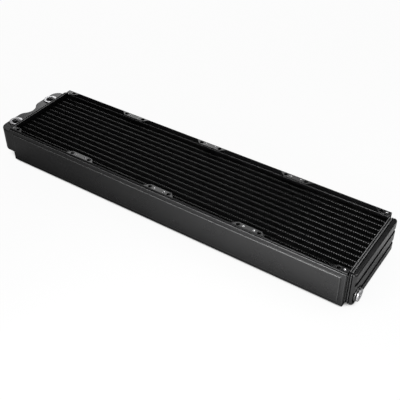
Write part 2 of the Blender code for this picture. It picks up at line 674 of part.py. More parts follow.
def build_core(root):
    """Tubes, fin strips and the two plates that close the core."""
    for i, y in enumerate(tube_places(), start=1):
        build_tube("coolant_tube_%02d" % i, y, root)
    first_fin = tube_places()[0] - TUBE_PITCH / 2
    for i in range(FIN_COUNT):
        build_fin_strip("fin_strip_%02d" % (i + 1), first_fin + i * TUBE_PITCH, root)
    build_core_plate("front_core_plate", -1, root)
    build_core_plate("rear_core_plate", 1, root)


def main():
    """Build every sub-part under one root, with the middle of the box over the origin."""
    clear_scene()
    root = bpy.data.objects.new("radiator", None)
    bpy.context.collection.objects.link(root)
    root.location = ((PORT_END - PLUG_FACE) / 2, 0.0, 0.0)
    for name, side in (("front", -1), ("rear", 1)):
        build_side_channel(name + "_side_channel", side, root)
        build_side_cover(name + "_side_cover", side, root)
    build_core(root)
    build_header_plate("port_header_plate", -1, root)
    build_header_plate("return_header_plate", 1, root)
    build_port_tank(root)
    build_divider(root)
    build_return_tank(root)
    build_collar("inlet_collar", -PORT_Y, root)
    build_collar("outlet_collar", PORT_Y, root)
    build_drain_bush(root)
    build_drain_seal(root)
    build_drain_plug(root)


main()
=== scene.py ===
"""Liquid cooling radiator: fine pieces and finishes around the packed solids, with a plain studio.

Metres, +Z up. The long side runs along X, the front cover faces -Y and the ports are at -X.
"""
import math

import bmesh
import bpy
import numpy as np
from bpy.props import FloatProperty, FloatVectorProperty, IntProperty, PointerProperty
from mathutils import Matrix, Vector


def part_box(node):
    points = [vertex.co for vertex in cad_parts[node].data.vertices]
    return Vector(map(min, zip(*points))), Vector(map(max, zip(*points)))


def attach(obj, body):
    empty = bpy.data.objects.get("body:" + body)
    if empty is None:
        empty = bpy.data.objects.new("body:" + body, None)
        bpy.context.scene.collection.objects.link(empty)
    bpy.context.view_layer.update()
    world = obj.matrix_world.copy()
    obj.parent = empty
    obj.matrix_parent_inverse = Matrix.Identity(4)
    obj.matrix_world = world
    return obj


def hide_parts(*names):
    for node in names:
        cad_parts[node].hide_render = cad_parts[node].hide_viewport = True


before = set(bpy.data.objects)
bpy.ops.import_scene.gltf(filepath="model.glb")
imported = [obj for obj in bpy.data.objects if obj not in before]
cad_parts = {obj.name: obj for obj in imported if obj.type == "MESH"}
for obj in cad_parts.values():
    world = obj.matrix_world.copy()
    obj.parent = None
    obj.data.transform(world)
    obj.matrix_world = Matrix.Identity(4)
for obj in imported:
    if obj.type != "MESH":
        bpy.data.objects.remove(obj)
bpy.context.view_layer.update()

bl_info = {
    "name": "Liquid Cooling Radiator",
    "version": (1, 0, 0),
    "blender": (4, 5, 0),
    "location": "View3D > Sidebar > Radiator",
    "description": "Fine pieces, finishes and a studio for the packed radiator",
    "category": "Add Mesh",
}

CUT_MARGIN = 0.002  # how far a cutting form stands out past what it cuts, in metres
FINISH_SLOTS = 2  # a piece's own finish and that of its rubbed edges, which are also painted lighter as a highlight
SIDES = (("front", -1), ("rear", 1))


def node_span(node, axis):
    """The lowest and highest place of a packed solid along one axis."""
    low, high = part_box(node)
    return low[axis], high[axis]


CHANNEL_LEFT, CHANNEL_RIGHT = node_span("front_side_channel", 0)
FIELD_MIDDLE = (CHANNEL_LEFT + CHANNEL_RIGHT) / 2
CHANNEL_END = (CHANNEL_RIGHT - CHANNEL_LEFT) / 2
BODY_HEIGHT = node_span("front_side_channel", 2)[1]
MID_HEIGHT = BODY_HEIGHT / 2
TAB_TIP, CHANNEL_OUTER = node_span("rear_side_channel", 1)
COVER_INNER, FIELD_FACE = node_span("rear_side_cover", 1)
COVER_END = node_span("rear_side_cover", 0)[1] - FIELD_MIDDLE
COVER_LOW, COVER_HIGH = node_span("rear_side_cover", 2)
CORE_PLATE_INNER, CORE_PLATE_OUTER = node_span("rear_core_plate", 1)
CORE_PLATE_LOW, CORE_PLATE_HIGH = node_span("rear_core_plate", 2)
TUBE_NODES = sorted(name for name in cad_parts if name.startswith("coolant_tube_"))
FIN_NODES = sorted(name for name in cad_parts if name.startswith("fin_strip_"))
TUBE_END = node_span(TUBE_NODES[0], 0)[1] - FIELD_MIDDLE
TUBE_LOW, TUBE_HIGH = node_span(TUBE_NODES[0], 2)
FIN_END = node_span(FIN_NODES[0], 0)[1] - FIELD_MIDDLE
FIN_LOW, FIN_HIGH = node_span(FIN_NODES[0], 2)
HEADER_INNER, HEADER_OUTER = [x - FIELD_MIDDLE for x in node_span("return_header_plate", 0)]
HEADER_HALF_WIDTH = node_span("return_header_plate", 1)[1]
HEADER_HALF_HEIGHT = node_span("return_header_plate", 2)[1] - MID_HEIGHT
FLANGE_INNER = node_span("return_tank", 0)[0] - FIELD_MIDDLE
PORT_END = FIELD_MIDDLE - node_span("port_tank", 0)[0]
PORT_HALF_WIDTH = node_span("port_tank", 1)[1]
COLLAR_FOOT, COLLAR_TOP = node_span("inlet_collar", 2)
DRAIN_PLACE = [sum(node_span("drain_plug", axis)) / 2 for axis in (1, 2)]
BUSH_FOOT, BUSH_FACE = node_span("drain_bush", 0)
PLUG_FOOT, PLUG_FACE = node_span("drain_plug", 0)
SEAL_BACK, SEAL_FACE = node_span("drain_seal", 0)


def length(name, description, default):
    """A size in metres that can be set in the panel."""
    return FloatProperty(name=name, description=description, default=default, min=0.0, precision=5,
                         subtype="DISTANCE", unit="LENGTH")


def turn(name, description, degrees):
    """An angle that can be set in the panel."""
    return FloatProperty(name=name, description=description, default=math.radians(degrees), subtype="ANGLE",
                         unit="ROTATION")


def tint(name, description, default):
    """A colour that can be set in the panel."""
    return FloatVectorProperty(name=name, description=description, default=default, min=0.0, max=1.0, size=3,
                               subtype="COLOR")


def level(name, description, default):
    """A plain number that can be set in the panel."""
    return FloatProperty(name=name, description=description, default=default, min=0.0, precision=3)


class RadiatorSheetSizes(bpy.types.PropertyGroup):
    """Sizes of the side channels and side covers."""
    fan_pitch: length("Fan pitch", "Width of one fan along the radiator", 0.140)
    screw_inset: length("Screw inset", "From a fan's edge to its screw holes", 0.00775)
    screw_hole: length("Screw hole", "Diameter of a fan screw hole", 0.0035)
    relief_hole: length("Relief hole", "Diameter of the plain hole beside each screw hole", 0.0059)
    relief_step: length("Relief step", "From a screw hole to its relief hole", 0.0077)
    sheet: length("Channel sheet", "Thickness of the channel sheet", 0.0011)
    lip: length("Channel lip", "Width of the lip that is left between two tabs", 0.0016)
    bend: length("Bend radius", "Outer radius of the channel's bends", 0.0014)
    tab_web: length("Tab web", "Sheet left between a relief hole and the tab's side", 0.00135)
    tab_angle: turn("Tab angle", "Slope of a tab's sides", 46.0)
    tab_tip_radius: length("Tab tip radius", "Rounding of the corners of a tab", 0.0029)
    sheet_edge: length("Sheet edge", "Softening of the cut edges of the sheet", 0.00028)
    thread_pitch: length("Screw thread pitch", "Pitch of the bare threads in the screw holes", 0.0005)
    thread_depth: length("Screw thread depth", "Depth of the bare threads in the screw holes", 0.00028)
    thread_length: length("Screw thread length", "Length of the bare threads in the screw holes", 0.0033)
    cover_plate: length("Cover plate", "Thickness of a cover's flat border", 0.0013)
    field_border: length("Field border", "Width of the flat border round a cover's raised field", 0.0051)
    field_end: length("Field end", "Run of the steep bevel at the two ends of a cover's field", 0.0009)
    cover_edge: length("Cover edge", "Softening of a cover's outer edges", 0.0006)


class RadiatorCoreSizes(bpy.types.PropertyGroup):
    """Sizes of the tubes, fins and header plates."""
    tube_wall: length("Tube wall", "Wall of a flat tube", 0.0004)
    fin_fold: length("Fin fold", "Length of one whole fold of a fin", 0.0031)
    fin_sheet: length("Fin sheet", "Thickness of the fin sheet", 0.00012)
    fin_reach: length("Fin reach", "How far a fold reaches past the solid's, towards the tube", 0.00022)
    header_corner: length("Header corner", "Corner radius of the header plates and tank flanges", 0.0059)
    slot_gap: length("Slot gap", "Room round a tube in its header slot", 0.0003)
    plate_edge: length("Plate edge", "Rounding of the rims of header plates and tank flanges", 0.0004)
    rim_rebate: length("Rim rebate", "How much thinner a rim is where header and flange meet", 0.0007)
    rim_depth: length("Rim depth", "How far in the rebate between header and flange goes", 0.0018)
    slot_edge: length("Slot edge", "Softening of the tube slots", 0.00015)
    wall_edge: length("Wall edge", "Softening of the edges of the core plates", 0.0004)


class RadiatorTankSizes(bpy.types.PropertyGroup):
    """Sizes of both end tanks, the port collars and the drain."""
    flange: length("Flange", "Thickness of a tank's flange", 0.0021)
    flange_lip: length("Flange lip", "How far the flange stands out from the tank", 0.0009)
    tank_wall: length("Tank wall", "Wall of the tanks", 0.0018)
    tank_corner: length("Tank corner", "Corner radius of the return tank, seen from above", 0.0053)
    foot_groove: length("Foot groove", "Width of the groove between flange and return tank", 0.0012)
    foot_depth: length("Foot groove depth", "Depth of the groove between flange and return tank", 0.0022)
    tank_crown: length("Tank crown", "Rounding of the upper and lower edges of the return tank", 0.0026)
    tube_margin: length("Tube margin", "Room above and below the tube ends", 0.0005)
    return_depth: length("Return tank depth", "How far the return tank stands out from its flange", 0.0065)
    return_end_wall: length("Return end wall", "End wall of the return tank", 0.0034)
    groove_height: length("Groove height", "Height of the grooves along the return tank", 0.0065)
    groove_depth: length("Groove depth", "Depth of the grooves along the return tank", 0.0017)
    groove_spacing: length("Groove spacing", "From the middle of one groove to the next", 0.0201)
    rib_edge: length("Rib edge", "Softening of the ribs between the grooves", 0.0003)
    port_base: length("Port base", "How far the base of the port tank stands out from its flange", 0.0026)
    port_setback: length("Port setback", "How much lower the port block is than the tank's base", 0.0048)
    port_wall: length("Port wall", "Wall of the port block", 0.0023)
    port_crown: length("Port crown", "Rounding of the upper and lower edges of the port tank", 0.0012)
    lobe_corner: length("Lobe corner", "Outer corner radius of the two lobes", 0.0141)
    lobe_shoulder: length("Lobe shoulder", "Inner shoulder radius of the two lobes", 0.0141)
    valley_radius: length("Valley radius", "Radius of the hollow between the lobes", 0.0164)
    valley_depth: length("Valley depth", "Depth of the hollow between the lobes", 0.0088)
    fit_gap: length("Fit gap", "Room round the collars and the bush", 0.0003)
    collar_flange: length("Collar flange", "Thickness of a port collar's ring", 0.0012)
    collar_sleeve: length("Collar sleeve", "Outer radius of a port collar's sleeve", 0.0077)
    collar_bore: length("Collar bore", "Smallest radius of a port collar's thread", 0.0059)
    collar_pitch: length("Collar thread pitch", "Pitch of a port collar's thread", 0.001337)
    collar_thread: length("Collar thread depth", "Depth of a port collar's thread", 0.0007)
    collar_bright: length("Collar bright thread", "How far down a port collar's thread is bright", 0.0038)
    recess_depth: length("Recess depth", "Depth of the round recess at the drain", 0.0019)
    recess_room: length("Recess room", "Room between the drain bush and the recess", 0.0023)
    neck_height: length("Neck height", "Height of the drain neck in its recess", 0.0014)
    neck_wall: length("Neck wall", "Wall of the drain neck", 0.0009)
    bush_flange: length("Bush flange", "Thickness of the drain bush's ring", 0.0013)
    bush_wall: length("Bush wall", "Wall of the drain bush", 0.0008)
    bush_bore: length("Bush bore", "Smallest radius of the drain bush's thread", 0.00685)
    drain_pitch: length("Drain thread pitch", "Pitch of the drain plug's thread", 0.001337)
    drain_thread: length("Drain thread depth", "Depth of the drain plug's thread", 0.0006)
    plug_shank: length("Plug shank", "Outer radius of the plug's thread", 0.0065)
    plug_head: length("Plug head", "Thickness of the plug's head", 0.0016)
    plug_socket: length("Plug socket", "Width across the flats of the plug's socket", 0.0060)
    plug_socket_depth: length("Plug socket depth", "Depth of the plug's socket", 0.0041)
    turned_edge: length("Turned edge", "Softening of the edges of turned pieces", 0.00025)


class RadiatorColours(bpy.types.PropertyGroup):
    """Colours of the finishes."""
    paint: tint("Paint", "Satin black paint of the sheets and tanks", (0.0085, 0.0085, 0.0090))
    # Lighter paint of rubbed edges: partly real wear and partly a painted highlight along the edges. It also gives the
    # faint cloudy tone of the satin paint.
    worn_and_highlit_paint: tint("Worn and highlit paint", "Paint where edges are rubbed thin, lightened further as a painted highlight", (0.210, 0.210, 0.212))
    fin: tint("Fin paint", "Thin matt black paint of the fins", (0.003, 0.003, 0.0032))
    fin_dusty: tint("Dusty fin paint", "Lighter places of the fins' paint", (0.010, 0.010, 0.0105))
    tube: tint("Tube paint", "Black paint of the tubes", (0.003, 0.003, 0.0032))
    # Lighter tube paint at the fin joints, partly the joint itself and partly a painted glint.
    tube_joint_and_glint: tint("Tube joint and glint paint", "Lighter places of the tubes' paint", (0.016, 0.016, 0.0165))
    plating: tint("Plating", "Bright plating of the collars, bush and plug", (0.66, 0.66, 0.67))
    plating_dull: tint("Dull plating", "Plating where it has dulled", (0.50, 0.50, 0.51))
    cut: tint("Cut metal", "Bare metal of the screw threads", (0.86, 0.86, 0.86))
    # Painted shade: the threads deep inside the bores are given this dark tone.
    thread: tint("Bore thread", "Darkened threads inside the bores", (0.12, 0.12, 0.12))
    thread_pale: tint("Pale bore thread", "Cleaner places of those threads", (0.20, 0.20, 0.20))
    brass: tint("Brass", "Bare brass of the divider", (0.55, 0.42, 0.20))
    brass_dull: tint("Dull brass", "Brass where it has darkened", (0.36, 0.25, 0.11))
    rubber: tint("Rubber", "Black rubber of the drain seal", (0.012, 0.012, 0.012))
    rubber_pale: tint("Pale rubber", "Dusty places of the rubber", (0.030, 0.030, 0.030))
    floor: tint("Floor", "Pale floor", (0.90, 0.90, 0.90))
    floor_covered: tint("Covered floor", "Floor close under the object, in its shade", (0.18, 0.18, 0.18))


class RadiatorStudio(bpy.types.PropertyGroup):
    """Floor, light and camera."""
    floor_size: length("Floor size", "Side of the square floor", 8.0)
    floor_drop: length("Floor drop", "Room between the lower tabs and the floor", 0.0003)
    floor_shade: length("Floor shade", "How far round a place of the floor things cover it", 0.12)
    floor_white: level("Floor white", "Share of plain white in the floor as the camera sees it", 0.96)
    mirror_white: level("Mirror white", "Share of plain white in the background as metal shows it", 0.03)
    world_fill: level("World fill", "Strength of the light from all round", 0.03)
    back_light: level("Back light", "Power of the soft box behind the port end, in watts", 7.9)
    front_light: level("Front light", "Power of the soft box in front of the return end, in watts", 1.85)
    long_light: level("Long light", "Power of the long soft box in front of the port end, in watts", 1.6)
    top_light: level("Top light", "Power of the soft box above the return end, in watts", 0.80)
    azimuth: turn("Camera azimuth", "Camera's turn from the front towards the return end", 34.7038)
    elevation: turn("Camera elevation", "Camera's height above the horizon", 39.3806)
    roll: turn("Camera roll", "Camera's turn about its own line of sight", -0.7373)
    distance: length("Camera distance", "From the camera to the point it looks at", 0.952092)
    target: FloatVectorProperty(name="Camera target", description="The point at the middle of the picture",
                                default=(FIELD_MIDDLE + 0.05742, -0.04949, BODY_HEIGHT), size=3, subtype="TRANSLATION",
                                unit="LENGTH")
    lens: FloatProperty(name="Lens", description="Focal length of the camera in millimetres", default=64.97,
                        min=1.0)
    round_steps: IntProperty(name="Round steps", description="Facets round a full turn", default=72, min=12)


def along(local):
    """A place along the radiator, measured from the middle of the fan field."""
    return FIELD_MIDDLE + local


def arc(centre, radius, start, end, steps):
    """Points along an arc, angles in degrees, both ends included."""
    points = []
    for i in range(steps + 1):
        angle = math.radians(start + (end - start) * i / steps)
        points.append((centre[0] + radius * math.cos(angle), centre[1] + radius * math.sin(angle)))
    return points


def circle(centre, radius, steps):
    """Points round a full circle."""
    return arc(centre, radius, 0, 360, steps)[:-1]


def rectangle(low_u, high_u, low_v, high_v):
    """The four corners of a rectangle."""
    return [(low_u, low_v), (high_u, low_v), (high_u, high_v), (low_u, high_v)]


def rounded_rectangle(half_width, half_height, radius, steps=10):
    """A rectangle about the mid height with round corners."""
    across = half_width - radius
    up = half_height - radius
    points = arc((across, MID_HEIGHT + up), radius, 0, 90, steps)
    points += arc((-across, MID_HEIGHT + up), radius, 90, 180, steps)
    points += arc((-across, MID_HEIGHT - up), radius, 180, 270, steps)
    points += arc((across, MID_HEIGHT - up), radius, 270, 360, steps)
    return points


def obround(centre_u, half_width, low_v, high_v, steps=10):
    """A slot outline: straight flanks along v and half round ends."""
    points = arc((centre_u, high_v - half_width), half_width, 0, 180, steps)
    points += arc((centre_u, low_v + half_width), half_width, 180, 360, steps)
    return points


def fillet(before, corner, after, radius, steps=8):
    """Round one corner of an outline with an arc tangent to both sides."""
    to_before = math.atan2(before[1] - corner[1], before[0] - corner[0])
    to_after = math.atan2(after[1] - corner[1], after[0] - corner[0])
    sweep = (to_after - to_before + math.pi) % (2 * math.pi) - math.pi
    half = abs(sweep) / 2
    middle = to_before + sweep / 2
    reach = radius / math.sin(half)
    centre = (corner[0] + reach * math.cos(middle), corner[1] + reach * math.sin(middle))
    spread = math.copysign(math.pi / 2 - half, sweep)
    points = []
    for i in range(steps + 1):
        angle = middle + math.pi - spread * (2 * i / steps - 1)
        points.append((centre[0] + radius * math.cos(angle), centre[1] + radius * math.sin(angle)))
    return points


def place(axis, u, v, w):
    """A point of an outline (u, v) at the place w along an axis."""
    return {"X": (w, u, v), "Y": (u, w, v), "Z": (u, v, w)}[axis]


def add_loft(bm, loops):
    """A closed skin over a row of equal loops of points, with both ends capped."""
    rings = [[bm.verts.new(point) for point in loop] for loop in loops]
    count = len(rings[0])
    for near, far in zip(rings, rings[1:]):
        for i in range(count):
            j = (i + 1) % count
            bm.faces.new((near[i], near[j], far[j], far[i]))
    bm.faces.new(rings[0])
    bm.faces.new(rings[-1])


def add_prism(bm, outline, low, high, axis):
    """A straight extrusion of an outline along an axis."""
    add_loft(bm, [[place(axis, u, v, w) for u, v in outline] for w in (low, high)])


def prism(outline, low, high, axis):
    """A new mesh that holds one extrusion."""
    bm = bmesh.new()
    add_prism(bm, outline, low, high, axis)
    return bm


def add_ring(bm, profile_at, steps, axis, centre=(0.0, 0.0, 0.0)):
    """A closed ring whose profile of (radius, height) points may change with the angle, as a thread does."""
    rings = []
    for i in range(steps):
        angle = 2 * math.pi * i / steps
        ring = []
        for radius, height in profile_at(angle):
            point = place(axis, radius * math.cos(angle), radius * math.sin(angle), height)
            ring.append(bm.verts.new(Vector(centre) + Vector(point)))
        rings.append(ring)
    count = len(rings[0])
    for i in range(steps):
        near = rings[i]
        far = rings[(i + 1) % steps]
        for k in range(count):
            n = (k + 1) % count
            bm.faces.new((near[k], far[k], far[n], near[n]))


def thread_wave(height, angle, pitch):
    """How far up a right hand thread's flank a point is, from 0 in the root to 1 on the crest."""
    phase = (height / pitch - angle / (2 * math.pi)) % 1.0
    ramp = 1.0 - abs(2.0 * phase - 1.0)
    return min(1.0, max(0.0, 1.35 * ramp - 0.12))


def rounded_corner(radius_at, height_at, out_u, out_v, size, steps=4):
    """Points that round an outer corner of a turned profile, from along v to along u."""
    points = []
    for i in range(steps + 1):
        angle = math.pi / 2 * i / steps
        points.append((radius_at - out_u * size * (1 - math.cos(angle)),
                       height_at - out_v * size * (1 - math.sin(angle))))
    return points


def mesh_from(bm, name):
    """A mesh with outward normals from a mesh under construction, which is used up."""
    bmesh.ops.recalc_face_normals(bm, faces=bm.faces)
    mesh = bpy.data.meshes.new(name)
    bm.to_mesh(mesh)
    bm.free()
    return mesh


def carve(bm, tool, operation="DIFFERENCE"):
    """Cut one closed mesh out of another, or join it on. Both are used up."""
    items = []
    for part in (bm, tool):
        mesh = mesh_from(part, "carving")
        for _ in range(FINISH_SLOTS):
            mesh.materials.append(None)
        item = bpy.data.objects.new("carving", mesh)
        bpy.context.scene.collection.objects.link(item)
        items.append(item)
    modifier = items[0].modifiers.new("carve", "BOOLEAN")
    modifier.operation = operation
    modifier.solver = "EXACT"
    modifier.object = items[1]
    graph = bpy.context.evaluated_depsgraph_get()
    mesh = bpy.data.meshes.new_from_object(items[0].evaluated_get(graph))
    result = bmesh.new()
    result.from_mesh(mesh)
    if not result.faces:
        raise RuntimeError("nothing is left of a carved piece")
    bpy.data.meshes.remove(mesh)
    for item in items:
        used = item.data
        bpy.data.objects.remove(item)
        bpy.data.meshes.remove(used)
    return result


def mark_outer_edges(bm, least_degrees=32.0):
    """Give every outer edge of a mesh full weight for softening, and leave inner corners sharp."""
    bmesh.ops.recalc_face_normals(bm, faces=bm.faces)
    weight = bm.edges.layers.float.new("bevel_weight_edge")
    for edge in bm.edges:
        if edge.is_convex and edge.calc_face_angle() > math.radians(least_degrees):
            edge[weight] = 1.0


def finish_material(finish):
    """The material of a finish, made the first time that it is asked for."""
    return bpy.data.materials.get(finish) or FINISHES[finish][0](finish)


def set_piece(name, bm, finish, nodes, body="radiator", edge=0.0, centre=(0.0, 0.0, 0.0), second=None):
    """Turn a mesh into a shown piece with its finish, on its body, in place of packed solids."""
    if edge:
        mark_outer_edges(bm)
    mesh = mesh_from(bm, name)
    mesh.shade_smooth()
    mesh.materials.append(finish_material(finish))
    if second or edge:
        mesh.materials.append(finish_material(second or "rubbed_highlit_black_paint"))
    piece = bpy.data.objects.new(name, mesh)
    bpy.context.scene.collection.objects.link(piece)
    piece.location = centre
    if edge:
        soften = piece.modifiers.new("soft edges", "BEVEL")
        soften.width = edge
        soften.segments = 3
        soften.limit_method = "WEIGHT"
        soften.use_clamp_overlap = True
        soften.miter_outer = "MITER_ARC"
        shade = piece.modifiers.new("flat faces", "WEIGHTED_NORMAL")
        shade.keep_sharp = True
        soften.material = 1
    mesh.set_sharp_from_angle(angle=math.radians(40))
    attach(piece, body)
    if nodes:
        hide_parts(*nodes)
    return piece


class Recipe:
    """A material under construction."""

    def __init__(self, name):
        self.material = bpy.data.materials.new(name)
        self.material.use_nodes = True
        self.tree = self.material.node_tree
        self.shader = self.tree.nodes["Principled BSDF"]

    def node(self, kind, inputs, **settings):
        """Add a node, with its settings and with its inputs fed by numbers or by other nodes' outputs."""
        made = self.tree.nodes.new(kind)
        for key, value in settings.items():
            setattr(made, key, value)
        for key, value in inputs.items():
            self.feed(made.inputs[key], value)
        return made

    def feed(self, socket, value):
        """Link an output to a socket, or set a plain value on it."""
        if isinstance(value, bpy.types.NodeSocket):
            self.tree.links.new(value, socket)
        else:
            socket.default_value = value

    def noise(self, vector, scale, detail, roughness=0.5):
        """A grey noise over the piece."""
        made = self.node("ShaderNodeTexNoise", {"Vector": vector, "Scale": scale, "Detail": detail,
                                                "Roughness": roughness})
        return made.outputs["Fac"]

    def spread(self, value, low, high, to_low, to_high):
        """Map one range of a value onto another, with the ends held."""
        made = self.node("ShaderNodeMapRange", {"Value": value, "From Min": low, "From Max": high,
                                                "To Min": to_low, "To Max": to_high})
        return made.outputs["Result"]

    def times(self, one, other):
        """The product of two values."""
        made = self.node("ShaderNodeMath", {0: one, 1: other}, operation="MULTIPLY")
        return made.outputs["Value"]

    def blend(self, share, one, other):
        """Mix two colours."""
        made = self.node("ShaderNodeMix", {"Factor": share, "A": one, "B": other}, data_type="RGBA")
        return made.outputs["Result"]

    def bump(self, height, strength, distance, under=None):
        """Raise the surface by a grey height, over an earlier bump if there is one."""
        inputs = {"Height": height, "Strength": strength, "Distance": distance}
        if under is not None:
            inputs["Normal"] = under
        return self.node("ShaderNodeBump", inputs).outputs["Normal"]

    def openness(self, reach):
        """How open a place is, from 0 deep in a crevice to 1 in the clear, looking no further than the reach."""
        made = self.node("ShaderNodeAmbientOcclusion", {"Distance": reach}, samples=8)
        return made.outputs["AO"]

    def object_place(self):
        """The place on the piece, in metres."""
        return self.node("ShaderNodeTexCoord", {}).outputs["Object"]


def rgba(colour):
    """A colour with full cover."""
    return (*colour, 1.0)


def colours():
    """The colours set in the panel."""
    return bpy.context.scene.radiator_colours


def satin_paint(name):
    """Black powder paint: fine orange peel, cloudy tone and gloss, and painted shade that takes the gloss out in
    crevices.
    """
    recipe = Recipe(name)
    tones = colours()
    where = recipe.object_place()
    cloud = recipe.noise(where, 22.0, 4.0)
    grain = recipe.noise(where, 1500.0, 3.0, 0.6)
    peel = recipe.noise(where, 520.0, 2.0)
    tone = recipe.blend(recipe.spread(cloud, 0.3, 0.7, 0.0, 0.015), rgba(tones.paint), rgba(tones.worn_and_highlit_paint))
    recipe.feed(recipe.shader.inputs["Base Color"], tone)
    recipe.feed(recipe.shader.inputs["Roughness"], recipe.spread(cloud, 0.25, 0.75, 0.23, 0.32))
    # Painted shade: the gloss fades out in crevices and corners, so they render dark.
    gloss = recipe.spread(recipe.openness(0.006), 0.62, 0.95, 0.0, 0.5)
    recipe.feed(recipe.shader.inputs["Specular IOR Level"], gloss)
    normal = recipe.bump(grain, 0.10, 0.0001)
    normal = recipe.bump(peel, 0.08, 0.0003, normal)
    recipe.feed(recipe.shader.inputs["Normal"], normal)
    return recipe.material


def rubbed_highlit_paint(name):
    """The same paint along outer edges, rubbed thin, with a painted highlight that makes them lighter where they face
    up.
    """
    recipe = Recipe(name)
    tones = colours()
    where = recipe.object_place()
    rub = recipe.noise(where, 140.0, 5.0)
    # Painted highlight: edges that face up take more of the lighter paint, as if lit from above.
    facing = recipe.node("ShaderNodeNewGeometry", {}).outputs["Normal"]
    upward = recipe.node("ShaderNodeSeparateXYZ", {"Vector": facing}).outputs["Z"]
    share = recipe.times(recipe.spread(upward, 0.1, 0.6, 0.12, 1.0), recipe.spread(rub, 0.3, 0.7, 0.6, 1.0))
    tone = recipe.blend(share, rgba(tones.paint), rgba(tones.worn_and_highlit_paint))
    recipe.feed(recipe.shader.inputs["Base Color"], tone)
    recipe.feed(recipe.shader.inputs["Roughness"], recipe.spread(rub, 0.3, 0.7, 0.26, 0.42))
    recipe.feed(recipe.shader.inputs["Specular IOR Level"], 0.6)
    recipe.feed(recipe.shader.inputs["Normal"], recipe.bump(recipe.noise(where, 1500.0, 3.0, 0.6), 0.08, 0.0001))
    return recipe.material


def fin_paint(name):
    """Thin matt black paint on the fins, patchy where it was sprayed."""
    recipe = Recipe(name)
    tones = colours()
    where = recipe.object_place()
    patch = recipe.noise(where, 90.0, 4.0)
    grain = recipe.noise(where, 2600.0, 2.0)
    tone = recipe.blend(recipe.spread(patch, 0.35, 0.7, 0.0, 1.0), rgba(tones.fin), rgba(tones.fin_dusty))
    recipe.feed(recipe.shader.inputs["Base Color"], tone)
    recipe.feed(recipe.shader.inputs["Roughness"], recipe.spread(patch, 0.3, 0.7, 0.55, 0.70))
    recipe.feed(recipe.shader.inputs["Specular IOR Level"], 0.15)
    recipe.feed(recipe.shader.inputs["Normal"], recipe.bump(grain, 0.12, 0.00006))
    return recipe.material


def tube_paint(name):
    """Black paint on the tubes, glossier than on the fins, lighter where each fold of a fin is joined on, which also
    paints dotted glints along the tubes.
    """
    recipe = Recipe(name)
    tones = colours()
    where = recipe.object_place()
    grain = recipe.noise(where, 2200.0, 2.0)
    folds = math.pi / 10 / bpy.context.scene.radiator_core.fin_fold
    joints_and_glints = recipe.node("ShaderNodeTexWave", {"Vector": where, "Scale": folds, "Distortion": 0.8, "Detail": 2.0},
                         wave_type="BANDS", bands_direction="X").outputs["Fac"]
    # Partly painted highlight: each joint is lighter and glossier, which stands in for the dotted glints along the
    # tubes as well as the joint.
    tone = recipe.blend(recipe.spread(joints_and_glints, 0.35, 0.85, 0.0, 1.0), rgba(tones.tube), rgba(tones.tube_joint_and_glint))
    recipe.feed(recipe.shader.inputs["Base Color"], tone)
    recipe.feed(recipe.shader.inputs["Roughness"], recipe.spread(joints_and_glints, 0.3, 0.8, 0.42, 0.16))
    recipe.feed(recipe.shader.inputs["Specular IOR Level"], recipe.spread(joints_and_glints, 0.35, 0.8, 0.15, 0.9))
    recipe.feed(recipe.shader.inputs["Normal"], recipe.bump(grain, 0.12, 0.00006))
    return recipe.material


def bright_plating(name, rings_about):
    """Bright plating with fine turning rings about the piece's axis."""
    recipe = Recipe(name)
    tones = colours()
    where = recipe.object_place()
    haze = recipe.noise(where, 420.0, 4.0)
    rings = recipe.node("ShaderNodeTexWave", {"Vector": where, "Scale": 1300.0, "Distortion": 0.6, "Detail": 2.0},
                        wave_type="RINGS", rings_direction=rings_about).outputs["Fac"]
    tone = recipe.blend(recipe.spread(haze, 0.4, 0.75, 0.0, 0.7), rgba(tones.plating), rgba(tones.plating_dull))
    recipe.feed(recipe.shader.inputs["Base Color"], tone)
    recipe.feed(recipe.shader.inputs["Metallic"], 1.0)
    recipe.feed(recipe.shader.inputs["Roughness"], recipe.spread(haze, 0.3, 0.7, 0.32, 0.46))
    recipe.feed(recipe.shader.inputs["Normal"], recipe.bump(rings, 0.06, 0.00004))
    return recipe.material


def upright_plating(name):
    """Plating of pieces turned about an upright axis."""
    return bright_plating(name, "Z")


def lengthwise_plating(name):
    """Plating of pieces turned about an axis along the radiator."""
    return bright_plating(name, "X")


def bare_thread(name):
    """Cut metal in the screw holes, bare of paint."""
    recipe = Recipe(name)
    tones = colours()
    where = recipe.object_place()
    haze = recipe.noise(where, 900.0, 3.0)
    tone = recipe.blend(recipe.spread(haze, 0.35, 0.7, 0.0, 0.7), rgba(tones.cut), rgba(tones.plating))
    recipe.feed(recipe.shader.inputs["Base Color"], tone)
    recipe.feed(recipe.shader.inputs["Metallic"], 1.0)
    recipe.feed(recipe.shader.inputs["Roughness"], recipe.spread(haze, 0.3, 0.7, 0.38, 0.52))
    recipe.feed(recipe.shader.inputs["Normal"], recipe.bump(recipe.noise(where, 5200.0, 2.0), 0.1, 0.00003))
    return recipe.material


def shaded_thread(name):
    """Cut threads inside the bores, painted dark as the shade deep inside a bore."""
    recipe = Recipe(name)
    tones = colours()
    where = recipe.object_place()
    haze = recipe.noise(where, 700.0, 4.0)
    tone = recipe.blend(recipe.spread(haze, 0.35, 0.7, 0.0, 1.0), rgba(tones.thread), rgba(tones.thread_pale))
    recipe.feed(recipe.shader.inputs["Base Color"], tone)
    recipe.feed(recipe.shader.inputs["Metallic"], 1.0)
    recipe.feed(recipe.shader.inputs["Roughness"], recipe.spread(haze, 0.3, 0.7, 0.38, 0.55))
    recipe.feed(recipe.shader.inputs["Normal"], recipe.bump(recipe.noise(where, 4600.0, 2.0), 0.1, 0.00003))
    return recipe.material


